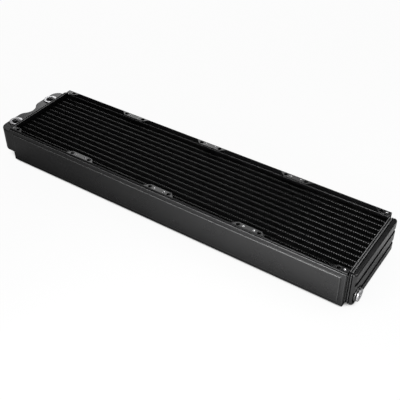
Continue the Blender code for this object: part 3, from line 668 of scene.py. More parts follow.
def bare_brass(name):
    """Rolled brass, darkened in patches."""
    recipe = Recipe(name)
    tones = colours()
    where = recipe.object_place()
    patch = recipe.noise(where, 140.0, 5.0)
    tone = recipe.blend(recipe.spread(patch, 0.35, 0.7, 0.0, 1.0), rgba(tones.brass), rgba(tones.brass_dull))
    recipe.feed(recipe.shader.inputs["Base Color"], tone)
    recipe.feed(recipe.shader.inputs["Metallic"], 1.0)
    recipe.feed(recipe.shader.inputs["Roughness"], recipe.spread(patch, 0.3, 0.7, 0.28, 0.5))
    recipe.feed(recipe.shader.inputs["Normal"], recipe.bump(recipe.noise(where, 1800.0, 3.0), 0.1, 0.00005))
    return recipe.material


def seal_rubber(name):
    """Moulded black rubber with a fine dull grain."""
    recipe = Recipe(name)
    tones = colours()
    where = recipe.object_place()
    patch = recipe.noise(where, 380.0, 4.0)
    tone = recipe.blend(recipe.spread(patch, 0.4, 0.7, 0.0, 0.8), rgba(tones.rubber), rgba(tones.rubber_pale))
    recipe.feed(recipe.shader.inputs["Base Color"], tone)
    recipe.feed(recipe.shader.inputs["Roughness"], recipe.spread(patch, 0.3, 0.7, 0.6, 0.8))
    recipe.feed(recipe.shader.inputs["Normal"], recipe.bump(recipe.noise(where, 4200.0, 2.0), 0.15, 0.00004))
    return recipe.material


FINISHES = {
    "satin_black_paint": (satin_paint, "black_paint"),
    "rubbed_highlit_black_paint": (rubbed_highlit_paint, "black_paint"),
    "matt_fin_paint": (fin_paint, "core_paint"),
    "tube_paint": (tube_paint, "core_paint"),
    "port_plating": (upright_plating, "chrome"),
    "drain_plating": (lengthwise_plating, "chrome"),
    "bare_screw_thread": (bare_thread, "chrome"),
    "shaded_bore_thread": (shaded_thread, "chrome"),
    "divider_brass": (bare_brass, "bare_brass"),
    "drain_rubber": (seal_rubber, "rubber"),
}


def fan_edges(sizes):
    """Where two fans meet along X, and the two outer ends of the fan field."""
    count = round(2 * (CHANNEL_END + sizes.screw_inset) / sizes.fan_pitch)
    return [along((i - count / 2) * sizes.fan_pitch) for i in range(count + 1)]


def screw_row(sizes):
    """How far the rows of screw holes lie from the middle of the radiator."""
    return sizes.fan_pitch / 2 - sizes.screw_inset


def tab_half_width(sizes, distance):
    """Half the width of a fan tab at a distance from the middle of the radiator."""
    inward = screw_row(sizes) - distance
    clear = sizes.relief_hole / 2 + sizes.tab_web
    return sizes.screw_inset + sizes.relief_step + (clear - inward * math.cos(sizes.tab_angle)) / math.sin(sizes.tab_angle)


def channel_section(sizes, side):
    """The C section of a side channel in the YZ plane."""
    bend = sizes.bend
    inner = CHANNEL_OUTER - sizes.sheet
    top = BODY_HEIGHT - sizes.sheet
    points = arc((CHANNEL_OUTER - bend, BODY_HEIGHT - bend), bend, 0, 90, 8)
    points += [(TAB_TIP, BODY_HEIGHT), (TAB_TIP, top), (inner, top), (inner, sizes.sheet)]
    points += [(TAB_TIP, sizes.sheet), (TAB_TIP, 0.0)]
    points += arc((CHANNEL_OUTER - bend, bend), bend, 270, 360, 8)
    return [(side * y, z) for y, z in points]


def notch_outline(sizes, left_edge, right_edge, side):
    """The gap between two neighbouring fan tabs, seen from above."""
    root = CHANNEL_OUTER - sizes.lip
    tip = TAB_TIP - 0.00005
    mouth = TAB_TIP - CUT_MARGIN
    reach = sizes.tab_tip_radius
    left = [(left_edge + tab_half_width(sizes, y), y) for y in (root, tip)]
    right = [(right_edge - tab_half_width(sizes, y), y) for y in (root, tip)]
    left_bend = fillet(left[0], left[1], (left[1][0] - reach, tip), reach)
    right_bend = fillet((right[1][0] + reach, tip), right[1], right[0], reach)
    points = [left[0], *left_bend, (left_bend[-1][0], mouth), (right_bend[0][0], mouth), *right_bend, right[0]]
    return [(x, side * y) for x, y in points]


def sheet_stations(sizes):
    """Places along a channel that part its sheet into short spans, each with one hole at most."""
    gap = sizes.screw_inset + sizes.relief_step / 2 - (sizes.relief_hole - sizes.screw_hole) / 4
    reach = sizes.screw_inset + sizes.relief_step + sizes.relief_hole
    places = {along(-CHANNEL_END), along(CHANNEL_END)}
    for edge in fan_edges(sizes):
        for shift in (-reach - sizes.fan_pitch / 4, -reach, -gap, 0.0, gap, reach, reach + sizes.fan_pitch / 4):
            if abs(edge + shift - FIELD_MIDDLE) < CHANNEL_END:
                places.add(edge + shift)
    return sorted(places)


class RADIATOR_OT_side_channels(bpy.types.Operator):
    """Bent sheet channels whose lips are cut back to fan tabs, above and below"""
    bl_idname = "radiator.side_channels"
    bl_label = "Side Channels"

    def execute(self, context):
        sizes = context.scene.radiator_sheet
        edges = fan_edges(sizes)
        for name, side in SIDES:
            section = channel_section(sizes, side)
            sheet = bmesh.new()
            add_loft(sheet, [[place("X", y, z, x) for y, z in section] for x in sheet_stations(sizes)])
            cuts = bmesh.new()
            for left, right in zip(edges, edges[1:]):
                add_prism(cuts, notch_outline(sizes, left, right, side), -CUT_MARGIN, BODY_HEIGHT + CUT_MARGIN, "Z")
                relief = sizes.screw_inset + sizes.relief_step
                for inset, diameter in ((sizes.screw_inset, sizes.screw_hole), (relief, sizes.relief_hole)):
                    for x in (left + inset, right - inset):
                        hole = circle((x, side * screw_row(sizes)), diameter / 2, 28)
                        add_prism(cuts, hole, -CUT_MARGIN, BODY_HEIGHT + CUT_MARGIN, "Z")
            set_piece(name + "_channel_sheet", carve(sheet, cuts), "satin_black_paint", [name + "_side_channel"],
                      edge=sizes.sheet_edge)
        return {"FINISHED"}


class RADIATOR_OT_screw_threads(bpy.types.Operator):
    """Bare metal threads in the fan screw holes of each channel"""
    bl_idname = "radiator.screw_threads"
    bl_label = "Screw Threads"

    def execute(self, context):
        sizes = context.scene.radiator_sheet
        outer = sizes.screw_hole / 2 - 0.00002
        crest = outer - 0.00006 - sizes.thread_depth
        rim = 0.00006
        levels = np.linspace(rim * 2, sizes.thread_length, 30)

        def section(angle):
            points = [(outer - 0.00003, rim)]
            for depth in levels:
                wave = thread_wave(depth, angle, sizes.thread_pitch)
                chamfer = outer - 0.00004 - depth
                points.append((max(crest + sizes.thread_depth * (1 - wave), chamfer), depth))
            points += [(outer, sizes.thread_length), (outer, rim)]
            return points

        for name, side in SIDES:
            bm = bmesh.new()
            edges = fan_edges(sizes)
            for left, right in zip(edges, edges[1:]):
                for x in (left + sizes.screw_inset, right - sizes.screw_inset):
                    for start, sense in ((0.0, 1), (BODY_HEIGHT, -1)):
                        add_ring(bm, lambda angle: [(r, sense * h) for r, h in section(sense * angle)], 20, "Z",
                                 (x, side * screw_row(sizes), start))
            set_piece(name + "_screw_threads", bm, "bare_screw_thread", [])
        return {"FINISHED"}


class RADIATOR_OT_side_covers(bpy.types.Operator):
    """Cover plates outside the channels, each with a raised field inside a flat border"""
    bl_idname = "radiator.side_covers"
    bl_label = "Side Covers"

    def execute(self, context):
        sizes = context.scene.radiator_sheet
        face = COVER_INNER + sizes.cover_plate
        rise = FIELD_FACE - face
        border = sizes.field_border
        top = border + rise
        levels = ((0.0, 0.0, COVER_INNER), (0.0, 0.0, face), (top - sizes.field_end, border, face),
                  (top, top, FIELD_FACE))
        for name, side in SIDES:
            bm = bmesh.new()
            loops = []
            for end_inset, inset, y in levels:
                corners = rectangle(along(-COVER_END + end_inset), along(COVER_END - end_inset), COVER_LOW + inset,
                                    COVER_HIGH - inset)
                loops.append([(x, side * y, z) for x, z in corners])
            add_loft(bm, loops)
            set_piece(name + "_cover_panel", bm, "satin_black_paint", [name + "_side_cover"], edge=sizes.cover_edge)
        return {"FINISHED"}


class RADIATOR_OT_core_plates(bpy.types.Operator):
    """Plates that close the core at its long sides"""
    bl_idname = "radiator.core_plates"
    bl_label = "Core Plates"

    def execute(self, context):
        edge = context.scene.radiator_core.wall_edge
        for name, side in SIDES:
            outline = rectangle(side * CORE_PLATE_INNER, side * CORE_PLATE_OUTER, CORE_PLATE_LOW, CORE_PLATE_HIGH)
            bm = prism(outline, along(-CHANNEL_END), along(CHANNEL_END), "X")
            set_piece(name + "_core_wall", bm, "satin_black_paint", [name + "_core_plate"], edge=edge)
        return {"FINISHED"}


class RADIATOR_OT_tubes(bpy.types.Operator):
    """Flat coolant tubes with half round edges, open at both ends"""
    bl_idname = "radiator.tubes"
    bl_label = "Coolant Tubes"

    def execute(self, context):
        wall = context.scene.radiator_core.tube_wall
        for node in TUBE_NODES:
            low, high = node_span(node, 1)
            middle = (low + high) / 2
            half = (high - low) / 2
            bm = bmesh.new()
            shells = []
            for inset in (0.0, wall):
                outline = obround(middle, half - inset, TUBE_LOW + inset, TUBE_HIGH - inset)
                ends = [[bm.verts.new((along(x), y, z)) for y, z in outline] for x in (-TUBE_END, TUBE_END)]
                shells.append(ends)
            count = len(shells[0][0])
            for i in range(count):
                j = (i + 1) % count
                for near, far in shells:
                    bm.faces.new((near[i], near[j], far[j], far[i]))
                for outer, inner in zip(*shells):
                    bm.faces.new((outer[i], outer[j], inner[j], inner[i]))
            set_piece("flat_tube_" + node[-2:], bm, "tube_paint", [node])
        return {"FINISHED"}


class RADIATOR_OT_fins(bpy.types.Operator):
    """Finely folded fin strips between the tubes"""
    bl_idname = "radiator.fins"
    bl_label = "Fin Strips"

    def execute(self, context):
        sizes = context.scene.radiator_core
        folds = round(2 * FIN_END / sizes.fin_fold)
        steps = 10
        count = folds * steps + 1
        place_x = np.linspace(along(-FIN_END), along(FIN_END), count)
        wave = np.tanh(2.6 * np.sin(np.arange(count) * 2 * math.pi / steps)) / math.tanh(2.6)
        for node in FIN_NODES:
            low, high = node_span(node, 1)
            swing = (high - low) / 2 + sizes.fin_reach - sizes.fin_sheet / 2
            middle = (low + high) / 2 + swing * wave
            slope = np.gradient(middle, place_x)
            across = sizes.fin_sheet / 2 / np.sqrt(1 + slope ** 2)
            sides = []
            for sign in (-1, 1):
                sides.append(np.column_stack((place_x - sign * slope * across, middle + sign * across)))
            outline = np.vstack((sides[0], sides[1][::-1]))
            bm = bmesh.new()
            rings = [[bm.verts.new((x, y, z)) for x, y in outline] for z in (FIN_LOW, FIN_HIGH)]
            total = len(outline)
            for i in range(total):
                j = (i + 1) % total
                bm.faces.new((rings[0][i], rings[0][j], rings[1][j], rings[1][i]))
            for ring in rings:
                for i in range(count - 1):
                    bm.faces.new((ring[i], ring[i + 1], ring[total - 2 - i], ring[total - 1 - i]))
            set_piece("folded_fin_" + node[-2:], bm, "matt_fin_paint", [node])
        return {"FINISHED"}


def end_plate(sizes, side, inner, outer, joint):
    """A plate across the end of the core with round corners, and a rebate in its rim along one face."""
    far = outer if joint == inner else inner
    inward = math.copysign(1.0, far - joint)
    edge = sizes.plate_edge
    rebate = joint + inward * sizes.rim_rebate
    profile = [(joint, sizes.rim_depth), (rebate, sizes.rim_depth)]
    for start, sense in ((rebate, inward), (far, -inward)):
        rounding = []
        for i in range(5):
            angle = math.pi / 2 * i / 4
            rounding.append((start + sense * edge * (1 - math.cos(angle)), edge * (1 - math.sin(angle))))
        profile += rounding if start == rebate else rounding[::-1]
    bm = bmesh.new()
    loops = []
    for x, inset in profile:
        outline = rounded_rectangle(HEADER_HALF_WIDTH - inset, HEADER_HALF_HEIGHT - inset,
                                    sizes.header_corner - inset)
        loops.append([(along(side * x), y, z) for y, z in outline])
    add_loft(bm, loops)
    # The rim faces take the second finish: rubbed paint that is painted lighter as a highlight where it faces up.
    for face in bm.faces:
        reach = min(max(abs(vert.co.y) - HEADER_HALF_WIDTH, abs(vert.co.z - MID_HEIGHT) - HEADER_HALF_HEIGHT)
                    for vert in face.verts)
        if len(face.verts) == 4 and reach > -edge - 1e-6:
            face.material_index = 1
    return bm


class RADIATOR_OT_header_plates(bpy.types.Operator):
    """End plates of the core with a slot for every tube"""
    bl_idname = "radiator.header_plates"
    bl_label = "Header Plates"

    def execute(self, context):
        sizes = context.scene.radiator_core
        for name, side in (("port", -1), ("return", 1)):
            sheet = end_plate(sizes, side, HEADER_INNER, HEADER_OUTER, HEADER_OUTER)
            slots = bmesh.new()
            for node in TUBE_NODES:
                low, high = node_span(node, 1)
                slot = obround((low + high) / 2, (high - low) / 2 + sizes.slot_gap, TUBE_LOW - sizes.slot_gap,
                               TUBE_HIGH + sizes.slot_gap)
                add_prism(slots, slot, along(side * (HEADER_INNER - CUT_MARGIN)), along(side * (HEADER_OUTER + CUT_MARGIN)), "X")
            set_piece(name + "_header_sheet", carve(sheet, slots), "satin_black_paint", [name + "_header_plate"],
                      edge=sizes.slot_edge)
        return {"FINISHED"}


def tank_flange(context, side):
    """The flat rim of a tank, against its header plate."""
    outer = FLANGE_INNER + context.scene.radiator_tank.flange
    return end_plate(context.scene.radiator_core, side, FLANGE_INNER, outer, FLANGE_INNER)


def crowned(outline_at, half_height, crown, steps=5):
    """An upright form about the mid height whose upper and lower edges are rounded."""
    loops = []
    for i in range(steps + 1):
        angle = math.pi / 2 * i / steps
        inset = crown * (1 - math.sin(angle))
        z = MID_HEIGHT - half_height + crown * (1 - math.cos(angle))
        loops.append([(x, y, z) for x, y in outline_at(inset)])
    loops += [[(x, y, 2 * MID_HEIGHT - z) for x, y, z in loop] for loop in loops[::-1]]
    bm = bmesh.new()
    add_loft(bm, loops)
    return bm


def tank_plan(side, inner, end, half_width, radius):
    """The plan of a straight tank with two round outer corners."""
    points = [(inner, -half_width)]
    points += arc((end - radius, -half_width + radius), radius, -90, 0, 10)
    points += arc((end - radius, half_width - radius), radius, 0, 90, 10)
    points += [(inner, half_width)]
    return [(along(side * x), y) for x, y in points]


def lobed_plan(sizes, inner, wall):
    """The plan of the port block: two round shouldered lobes with a hollow between, inset by a wall."""
    corner_x = PORT_END - sizes.lobe_corner
    corner_y = PORT_HALF_WIDTH - sizes.lobe_corner
    shoulder_x = PORT_END - sizes.lobe_shoulder
    valley_x = PORT_END - sizes.valley_depth + sizes.valley_radius
    reach = sizes.lobe_shoulder + sizes.valley_radius
    shoulder_y = math.sqrt(reach ** 2 - (valley_x - shoulder_x) ** 2)
    sweep = math.degrees(math.acos((valley_x - shoulder_x) / reach))
    half = [(inner, PORT_HALF_WIDTH - wall)]
    half += arc((corner_x, corner_y), sizes.lobe_corner - wall, 90, 0, 16)
    half += arc((shoulder_x, shoulder_y), sizes.lobe_shoulder - wall, 0, -sweep, 14)
    half += arc((valley_x, 0.0), sizes.valley_radius + wall, 180 - sweep, 180, 14)[1:]
    points = half + [(x, -y) for x, y in half[-2::-1]]
    return [(along(-x), y) for x, y in points]


class RADIATOR_OT_port_tank(bpy.types.Operator):
    """The tank at the port end: a base over all the tube ends and a lobed block for both ports"""
    bl_idname = "radiator.port_tank"
    bl_label = "Port Tank"

    def execute(self, context):
        sizes = context.scene.radiator_tank
        flange_outer = FLANGE_INNER + sizes.flange
        base_end = flange_outer + sizes.port_base
        half_width = HEADER_HALF_WIDTH - sizes.flange_lip
        half_height = (TUBE_HIGH - TUBE_LOW) / 2 + sizes.tube_margin + sizes.tank_wall
        block_half = half_height - sizes.port_setback

        def base_plan(inset):
            return tank_plan(-1, FLANGE_INNER + sizes.flange / 2, base_end - inset, half_width - inset,
                             sizes.tank_wall)

        def block_plan(inset):
            return lobed_plan(sizes, flange_outer, inset)

        tank = carve(tank_flange(context, -1), crowned(base_plan, half_height, sizes.port_crown), "UNION")
        tank = carve(tank, crowned(block_plan, block_half, sizes.port_crown), "UNION")
        hollow = rectangle(along(-(base_end - sizes.tank_wall)), along(-(FLANGE_INNER - CUT_MARGIN)),
                           -half_width + sizes.tank_wall, half_width - sizes.tank_wall)
        room = half_height - sizes.tank_wall
        tank = carve(tank, prism(hollow, MID_HEIGHT - room, MID_HEIGHT + room, "Z"))
        room = block_half - sizes.port_wall
        tank = carve(tank, prism(block_plan(sizes.port_wall), MID_HEIGHT - room, MID_HEIGHT + room, "Z"))
        bores = bmesh.new()
        top = MID_HEIGHT + block_half
        for node in ("inlet_collar", "outlet_collar"):
            x, y = [sum(node_span(node, axis)) / 2 for axis in (0, 1)]
            hole = circle((x, y), sizes.collar_sleeve + sizes.fit_gap, 48)
            add_prism(bores, hole, top - sizes.port_wall - CUT_MARGIN, top + CUT_MARGIN, "Z")
        set_piece("port_tank_shell", carve(tank, bores), "satin_black_paint", ["port_tank"], edge=0.00025)
        return {"FINISHED"}


class RADIATOR_OT_return_tank(bpy.types.Operator):
    """The plain tank at the far end: grooved end wall and a recessed drain neck in one corner"""
    bl_idname = "radiator.return_tank"
    bl_label = "Return Tank"

    def execute(self, context):
        sizes = context.scene.radiator_tank
        flange_outer = FLANGE_INNER + sizes.flange
        end = flange_outer + sizes.return_depth
        half_width = HEADER_HALF_WIDTH - sizes.flange_lip
        half_height = HEADER_HALF_HEIGHT - sizes.flange_lip

        def plan(inset):
            return tank_plan(1, flange_outer + sizes.foot_groove, end - inset, half_width - inset,
                             sizes.tank_corner - inset)

        neck = rounded_rectangle(half_width - sizes.foot_depth, half_height - sizes.foot_depth, sizes.tank_crown)
        neck = prism(neck, along(flange_outer - sizes.flange / 2), along(flange_outer + 2 * sizes.foot_groove), "X")
        tank = carve(tank_flange(context, 1), neck, "UNION")
        tank = carve(tank, crowned(plan, half_height, sizes.tank_crown), "UNION")
        grooves = bmesh.new()
        for shift in (-sizes.groove_spacing / 2, sizes.groove_spacing / 2):
            band = rectangle(along(end - sizes.groove_depth), along(end + CUT_MARGIN),
                             MID_HEIGHT + shift - sizes.groove_height / 2, MID_HEIGHT + shift + sizes.groove_height / 2)
            add_prism(grooves, band, -half_width - CUT_MARGIN, half_width + CUT_MARGIN, "Y")
        tank = carve(tank, grooves)
        hole_radius = sizes.bush_bore + sizes.bush_wall + sizes.fit_gap
        neck_radius = hole_radius + sizes.neck_wall
        flange_radius = (node_span("drain_bush", 1)[1] - node_span("drain_bush", 1)[0]) / 2
        floor = along(end - sizes.recess_depth)
        neck_face = floor + sizes.neck_height
        recess = prism(circle(DRAIN_PLACE, flange_radius + sizes.recess_room, 64), floor, along(end + CUT_MARGIN), "X")
        tank = carve(tank, recess)
        neck = prism(circle(DRAIN_PLACE, neck_radius, 64), floor - sizes.neck_height, neck_face, "X")
        tank = carve(tank, neck, "UNION")
        side_room = half_width - sizes.foot_depth - sizes.tank_wall / 2
        hollow = tank_plan(1, FLANGE_INNER - CUT_MARGIN, end - sizes.return_end_wall, side_room, sizes.tank_wall)
        room = half_height - sizes.foot_depth - sizes.tank_wall / 2
        tank = carve(tank, prism(hollow, MID_HEIGHT - room, MID_HEIGHT + room, "Z"))
        bore = prism(circle(DRAIN_PLACE, hole_radius, 64), along(end - sizes.return_end_wall - CUT_MARGIN),
                     neck_face + CUT_MARGIN, "X")
        set_piece("return_tank_shell", carve(tank, bore), "satin_black_paint", ["return_tank"], edge=sizes.rib_edge)
        return {"FINISHED"}


class RADIATOR_OT_divider(bpy.types.Operator):
    """The hidden wall inside the port tank, which keeps its packed form"""
    bl_idname = "radiator.divider"
    bl_label = "Tank Divider"

    def execute(self, context):
        finish = "divider_brass"
        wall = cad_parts["tank_divider"]
        wall.data.materials.clear()
        wall.data.materials.append(bare_brass(finish))
        return {"FINISHED"}


class RADIATOR_OT_port_collars(bpy.types.Operator):
    """Bright port rings with a pipe thread in each bore"""
    bl_idname = "radiator.port_collars"
    bl_label = "Port Collars"

    def execute(self, context):
        sizes = context.scene.radiator_tank
        steps = context.scene.radiator_studio.round_steps
        for name in ("inlet", "outlet"):
            node = name + "_collar"
            spans = [node_span(node, axis) for axis in (0, 1)]
            outer = (spans[0][1] - spans[0][0]) / 2
            base = COLLAR_TOP - sizes.collar_flange
            lead = sizes.collar_bore + sizes.collar_thread + 0.00012
            levels = np.linspace(COLLAR_FOOT, COLLAR_TOP, 110)

            def section(angle):
                points = []
                for z in levels:
                    groove = sizes.collar_thread * (1 - thread_wave(z, angle, sizes.collar_pitch))
                    chamfer = lead - (COLLAR_TOP - z)
                    points.append((max(sizes.collar_bore + groove, chamfer), z))
                points += rounded_corner(outer, COLLAR_TOP, 1, 1, sizes.turned_edge)[::-1]
                points += [(outer, base + 0.0001), (outer - 0.0001, base), (sizes.collar_sleeve, base),
                           (sizes.collar_sleeve, COLLAR_FOOT)]
                return points

            bm = bmesh.new()
            add_ring(bm, section, steps, "Z")
            # Painted shade: below its bright top, the bore's thread takes the dark shaded finish.
            for face in bm.faces:
                middle = face.calc_center_median()
                if middle.xy.length < lead and middle.z < COLLAR_TOP - sizes.collar_bright:
                    face.material_index = 1
            centre = (sum(spans[0]) / 2, sum(spans[1]) / 2, 0.0)
            set_piece(name + "_port_ring", bm, "port_plating", [node], centre=centre, second="shaded_bore_thread")
        return {"FINISHED"}


class RADIATOR_OT_drain(bpy.types.Operator):
    """Drain bush, its seal, and the plug that screws into it"""
    bl_idname = "radiator.drain"
    bl_label = "Drain Bush, Seal and Plug"

    def execute(self, context):
        sizes = context.scene.radiator_tank
        steps = context.scene.radiator_studio.round_steps
        self.bush(sizes, steps)
        self.seal(steps)
        self.plug(sizes, steps)
        return {"FINISHED"}

    def bush(self, sizes, steps):
        """The threaded ring in the drain neck."""
        outer = (node_span("drain_bush", 1)[1] - node_span("drain_bush", 1)[0]) / 2
        base = BUSH_FACE - sizes.bush_flange
        sleeve = sizes.bush_bore + sizes.bush_wall
        levels = np.linspace(BUSH_FOOT, BUSH_FACE, 70)
        lead = sizes.bush_bore + sizes.drain_thread + 0.0001

        def section(angle):
            points = []
            for x in levels:
                groove = sizes.drain_thread * (1 - thread_wave(x, angle, sizes.drain_pitch))
                points.append((max(sizes.bush_bore + groove, lead - (BUSH_FACE - x)), x))
            points += rounded_corner(outer, BUSH_FACE, 1, 1, sizes.turned_edge)[::-1]
            points += [(outer, base + 0.0001), (outer - 0.0001, base), (sleeve, base), (sleeve, BUSH_FOOT)]
            return points

        bm = bmesh.new()
        add_ring(bm, section, steps, "X")
        # The bush takes the dark shaded thread finish all over: painted shade in the drain recess.
        set_piece("drain_bush_ring", bm, "shaded_bore_thread", ["drain_bush"], centre=(0.0, *DRAIN_PLACE))

    def seal(self, steps):
        """The round section ring under the head of the plug."""
        low, high = node_span("drain_seal", 1)
        half = (SEAL_FACE - SEAL_BACK) / 2
        middle = (high - low) / 2 - half
        section = circle((middle, (SEAL_FACE + SEAL_BACK) / 2), half, 20)
        bm = bmesh.new()
        add_ring(bm, lambda angle: section, steps, "X")
        set_piece("drain_seal_ring", bm, "drain_rubber", ["drain_seal"], body="drain_seal",
                  centre=(0.0, *DRAIN_PLACE))

    def plug(self, sizes, steps):
        """The bright plug with a hexagon socket in its head and a thread on its shank."""
        head = (node_span("drain_plug", 1)[1] - node_span("drain_plug", 1)[0]) / 2
        seat = PLUG_FACE - sizes.plug_head
        root = sizes.plug_shank - sizes.drain_thread
        levels = np.linspace(PLUG_FOOT, seat - 0.0004, 70)
        bm = bmesh.new()
        loops = []
        for x in levels:
            loop = []
            for i in range(steps):
                angle = 2 * math.pi * i / steps
                crest = sizes.drain_thread * thread_wave(x, angle, sizes.drain_pitch)
                radius = min(root + crest, root + (x - PLUG_FOOT))
                loop.append(place("X", radius * math.cos(angle), radius * math.sin(angle), x))
            loops.append(loop)
        edge = sizes.turned_edge
        rings = [(root, seat - 0.0004 + 0.00005), (root, seat), (head - edge, seat), (head, seat + edge)]
        rings += rounded_corner(head, PLUG_FACE, 1, 1, 2 * edge)
        for radius, x in rings:
            loops.append([place("X", u, v, x) for u, v in circle((0.0, 0.0), radius, steps)])
        add_loft(bm, loops)
        hexagon = circle((0.0, 0.0), sizes.plug_socket / math.sqrt(3), 6)
        bm = carve(bm, prism(hexagon, PLUG_FACE - sizes.plug_socket_depth, PLUG_FACE + CUT_MARGIN, "X"))
        set_piece("drain_screw", bm, "drain_plating", ["drain_plug"], body="drain_plug", centre=(0.0, *DRAIN_PLACE))


def soft_box(name, place_at, target, width, height, spread, power):
    """An area lamp that faces a point, with its beam held to a spread in degrees and itself not shown."""
    lamp = bpy.data.lights.new(name, "AREA")
    lamp.shape = "RECTANGLE"
    lamp.size = width
    lamp.size_y = height
    lamp.spread = math.radians(spread)
    lamp.energy = power
    item = bpy.data.objects.new(name, lamp)
    bpy.context.scene.collection.objects.link(item)
    item.location = place_at
    item.visible_camera = False
    item.rotation_euler = (Vector(target) - Vector(place_at)).to_track_quat("-Z", "Y").to_euler()


def seen_directly(tree, mirrored):
    """One for rays from the camera, and a share for rays that are mirrored or pass through glass."""
    path = tree.nodes.new("ShaderNodeLightPath")
    total = path.outputs["Is Camera Ray"]
    for name in ("Is Glossy Ray", "Is Transmission Ray"):
        join = tree.nodes.new("ShaderNodeMath")
        join.operation = "MULTIPLY_ADD"
        tree.links.new(path.outputs[name], join.inputs[0])
        join.inputs[1].default_value = mirrored
        tree.links.new(total, join.inputs[2])
        total = join.outputs["Value"]
    return total


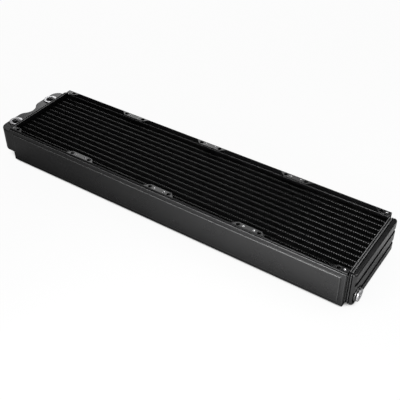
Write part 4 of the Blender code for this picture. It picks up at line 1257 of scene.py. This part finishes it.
class RADIATOR_OT_studio(bpy.types.Operator):
    """Pale floor, soft light and the camera"""
    bl_idname = "radiator.studio"
    bl_label = "Studio"

    def execute(self, context):
        scene = context.scene
        studio = scene.radiator_studio
        scene.view_settings.view_transform = "Standard"
        self.floor(scene, studio)
        self.world(scene, studio)
        soft_box("back_soft_box", (-1.00, 1.25, 1.15), (-0.05, 0.0, 0.03), 1.1, 0.9, 180.0, studio.back_light)
        soft_box("long_soft_box", (-0.60, -0.95, 0.90), (0.0, -0.07, 0.05), 1.3, 0.35, 180.0, studio.long_light)
        soft_box("front_soft_box", (0.23, -0.40, 0.22), (0.23, -0.30, 0.0), 0.36, 0.2, 150.0, studio.front_light)
        soft_box("top_soft_box", (0.56, 0.26, 0.72), (0.47, 0.14, 0.0), 0.4, 0.4, 80.0, studio.top_light)
        self.camera(scene, studio)
        return {"FINISHED"}

    def floor(self, scene, studio):
        """A plain pale floor that shows near white and keeps the shadow."""
        half = studio.floor_size / 2
        bm = bmesh.new()
        bm.faces.new([bm.verts.new((x, y, -studio.floor_drop)) for x, y in rectangle(-half, half, -half, half)])
        mesh = mesh_from(bm, "studio_floor")
        recipe = Recipe("pale_floor")
        tree = recipe.tree
        openness = recipe.openness(studio.floor_shade)
        tone = recipe.blend(recipe.spread(openness, 0.50, 0.88, 0.0, 1.0), rgba(colours().floor_covered),
                            rgba(colours().floor))
        recipe.feed(recipe.shader.inputs["Base Color"], tone)
        recipe.feed(recipe.shader.inputs["Roughness"], 0.9)
        recipe.feed(recipe.shader.inputs["Specular IOR Level"], 0.1)
        clear = recipe.spread(openness, 0.08, 0.40, 0.0, studio.floor_white)
        share = recipe.times(seen_directly(tree, studio.mirror_white), clear)
        glow = recipe.node("ShaderNodeEmission", {"Strength": 1.0}).outputs["Emission"]
        mix = recipe.node("ShaderNodeMixShader", {0: share, 1: recipe.shader.outputs["BSDF"], 2: glow})
        recipe.feed(tree.nodes["Material Output"].inputs["Surface"], mix.outputs["Shader"])
        mesh.materials.append(recipe.material)
        floor = bpy.data.objects.new("studio_floor", mesh)
        scene.collection.objects.link(floor)

    def world(self, scene, studio):
        """Plain light from all round that shows white where it is seen."""
        world = bpy.data.worlds.new("studio_world")
        world.use_nodes = True
        tree = world.node_tree
        background = tree.nodes["Background"]
        background.inputs["Color"].default_value = (1.0, 1.0, 1.0, 1.0)
        strength = tree.nodes.new("ShaderNodeMapRange")
        strength.inputs["To Min"].default_value = studio.world_fill
        strength.inputs["To Max"].default_value = 1.0
        tree.links.new(seen_directly(tree, studio.mirror_white), strength.inputs["Value"])
        tree.links.new(strength.outputs["Result"], background.inputs["Strength"])
        scene.world = world

    def camera(self, scene, studio):
        """The camera at the viewing angle, with its roll."""
        flat = math.cos(studio.elevation)
        back = Vector((math.sin(studio.azimuth) * flat, -math.cos(studio.azimuth) * flat, math.sin(studio.elevation)))
        right = Vector((0.0, 0.0, 1.0)).cross(back).normalized()
        up = back.cross(right)
        across = right * math.cos(studio.roll) + up * math.sin(studio.roll)
        upward = up * math.cos(studio.roll) - right * math.sin(studio.roll)
        data = bpy.data.cameras.new("camera")
        data.lens = studio.lens
        data.sensor_width = 36.0
        data.clip_start = 0.01
        data.clip_end = 50.0
        camera = bpy.data.objects.new("camera", data)
        scene.collection.objects.link(camera)
        turned = Matrix((across, upward, back)).transposed().to_4x4()
        camera.matrix_world = Matrix.Translation(Vector(studio.target) + back * studio.distance) @ turned
        scene.camera = camera


PIECE_OPERATORS = (
    RADIATOR_OT_side_channels,
    RADIATOR_OT_screw_threads,
    RADIATOR_OT_side_covers,
    RADIATOR_OT_core_plates,
    RADIATOR_OT_tubes,
    RADIATOR_OT_fins,
    RADIATOR_OT_header_plates,
    RADIATOR_OT_port_tank,
    RADIATOR_OT_return_tank,
    RADIATOR_OT_divider,
    RADIATOR_OT_port_collars,
    RADIATOR_OT_drain,
    RADIATOR_OT_studio,
)

GROUPS = (
    ("radiator_sheet", RadiatorSheetSizes),
    ("radiator_core", RadiatorCoreSizes),
    ("radiator_tank", RadiatorTankSizes),
    ("radiator_colours", RadiatorColours),
    ("radiator_studio", RadiatorStudio),
)


class VIEW3D_PT_radiator(bpy.types.Panel):
    """The radiator's sizes, colours and pieces"""
    bl_idname = "VIEW3D_PT_radiator"
    bl_label = "Liquid Cooling Radiator"
    bl_space_type = "VIEW_3D"
    bl_region_type = "UI"
    bl_category = "Radiator"

    def draw(self, context):
        for operator in PIECE_OPERATORS:
            self.layout.operator(operator.bl_idname)
        for name, group in GROUPS:
            box = self.layout.box()
            box.label(text=group.__doc__)
            for key in group.__annotations__:
                box.prop(getattr(context.scene, name), key)


def register():
    """Make the groups, operators and panel known to Blender."""
    for name, group in GROUPS:
        bpy.utils.register_class(group)
        setattr(bpy.types.Scene, name, PointerProperty(type=group))
    for operator in PIECE_OPERATORS:
        bpy.utils.register_class(operator)
    bpy.utils.register_class(VIEW3D_PT_radiator)


def unregister():
    """Take everything out again."""
    bpy.utils.unregister_class(VIEW3D_PT_radiator)
    for operator in reversed(PIECE_OPERATORS):
        bpy.utils.unregister_class(operator)
    for name, group in reversed(GROUPS):
        delattr(bpy.types.Scene, name)
        bpy.utils.unregister_class(group)


def main():
    """Register, then build every piece and the studio."""
    register()
    for operator in PIECE_OPERATORS:
        family, call = operator.bl_idname.split(".")
        getattr(getattr(bpy.ops, family), call)()


if __name__ == "__main__":
    main()
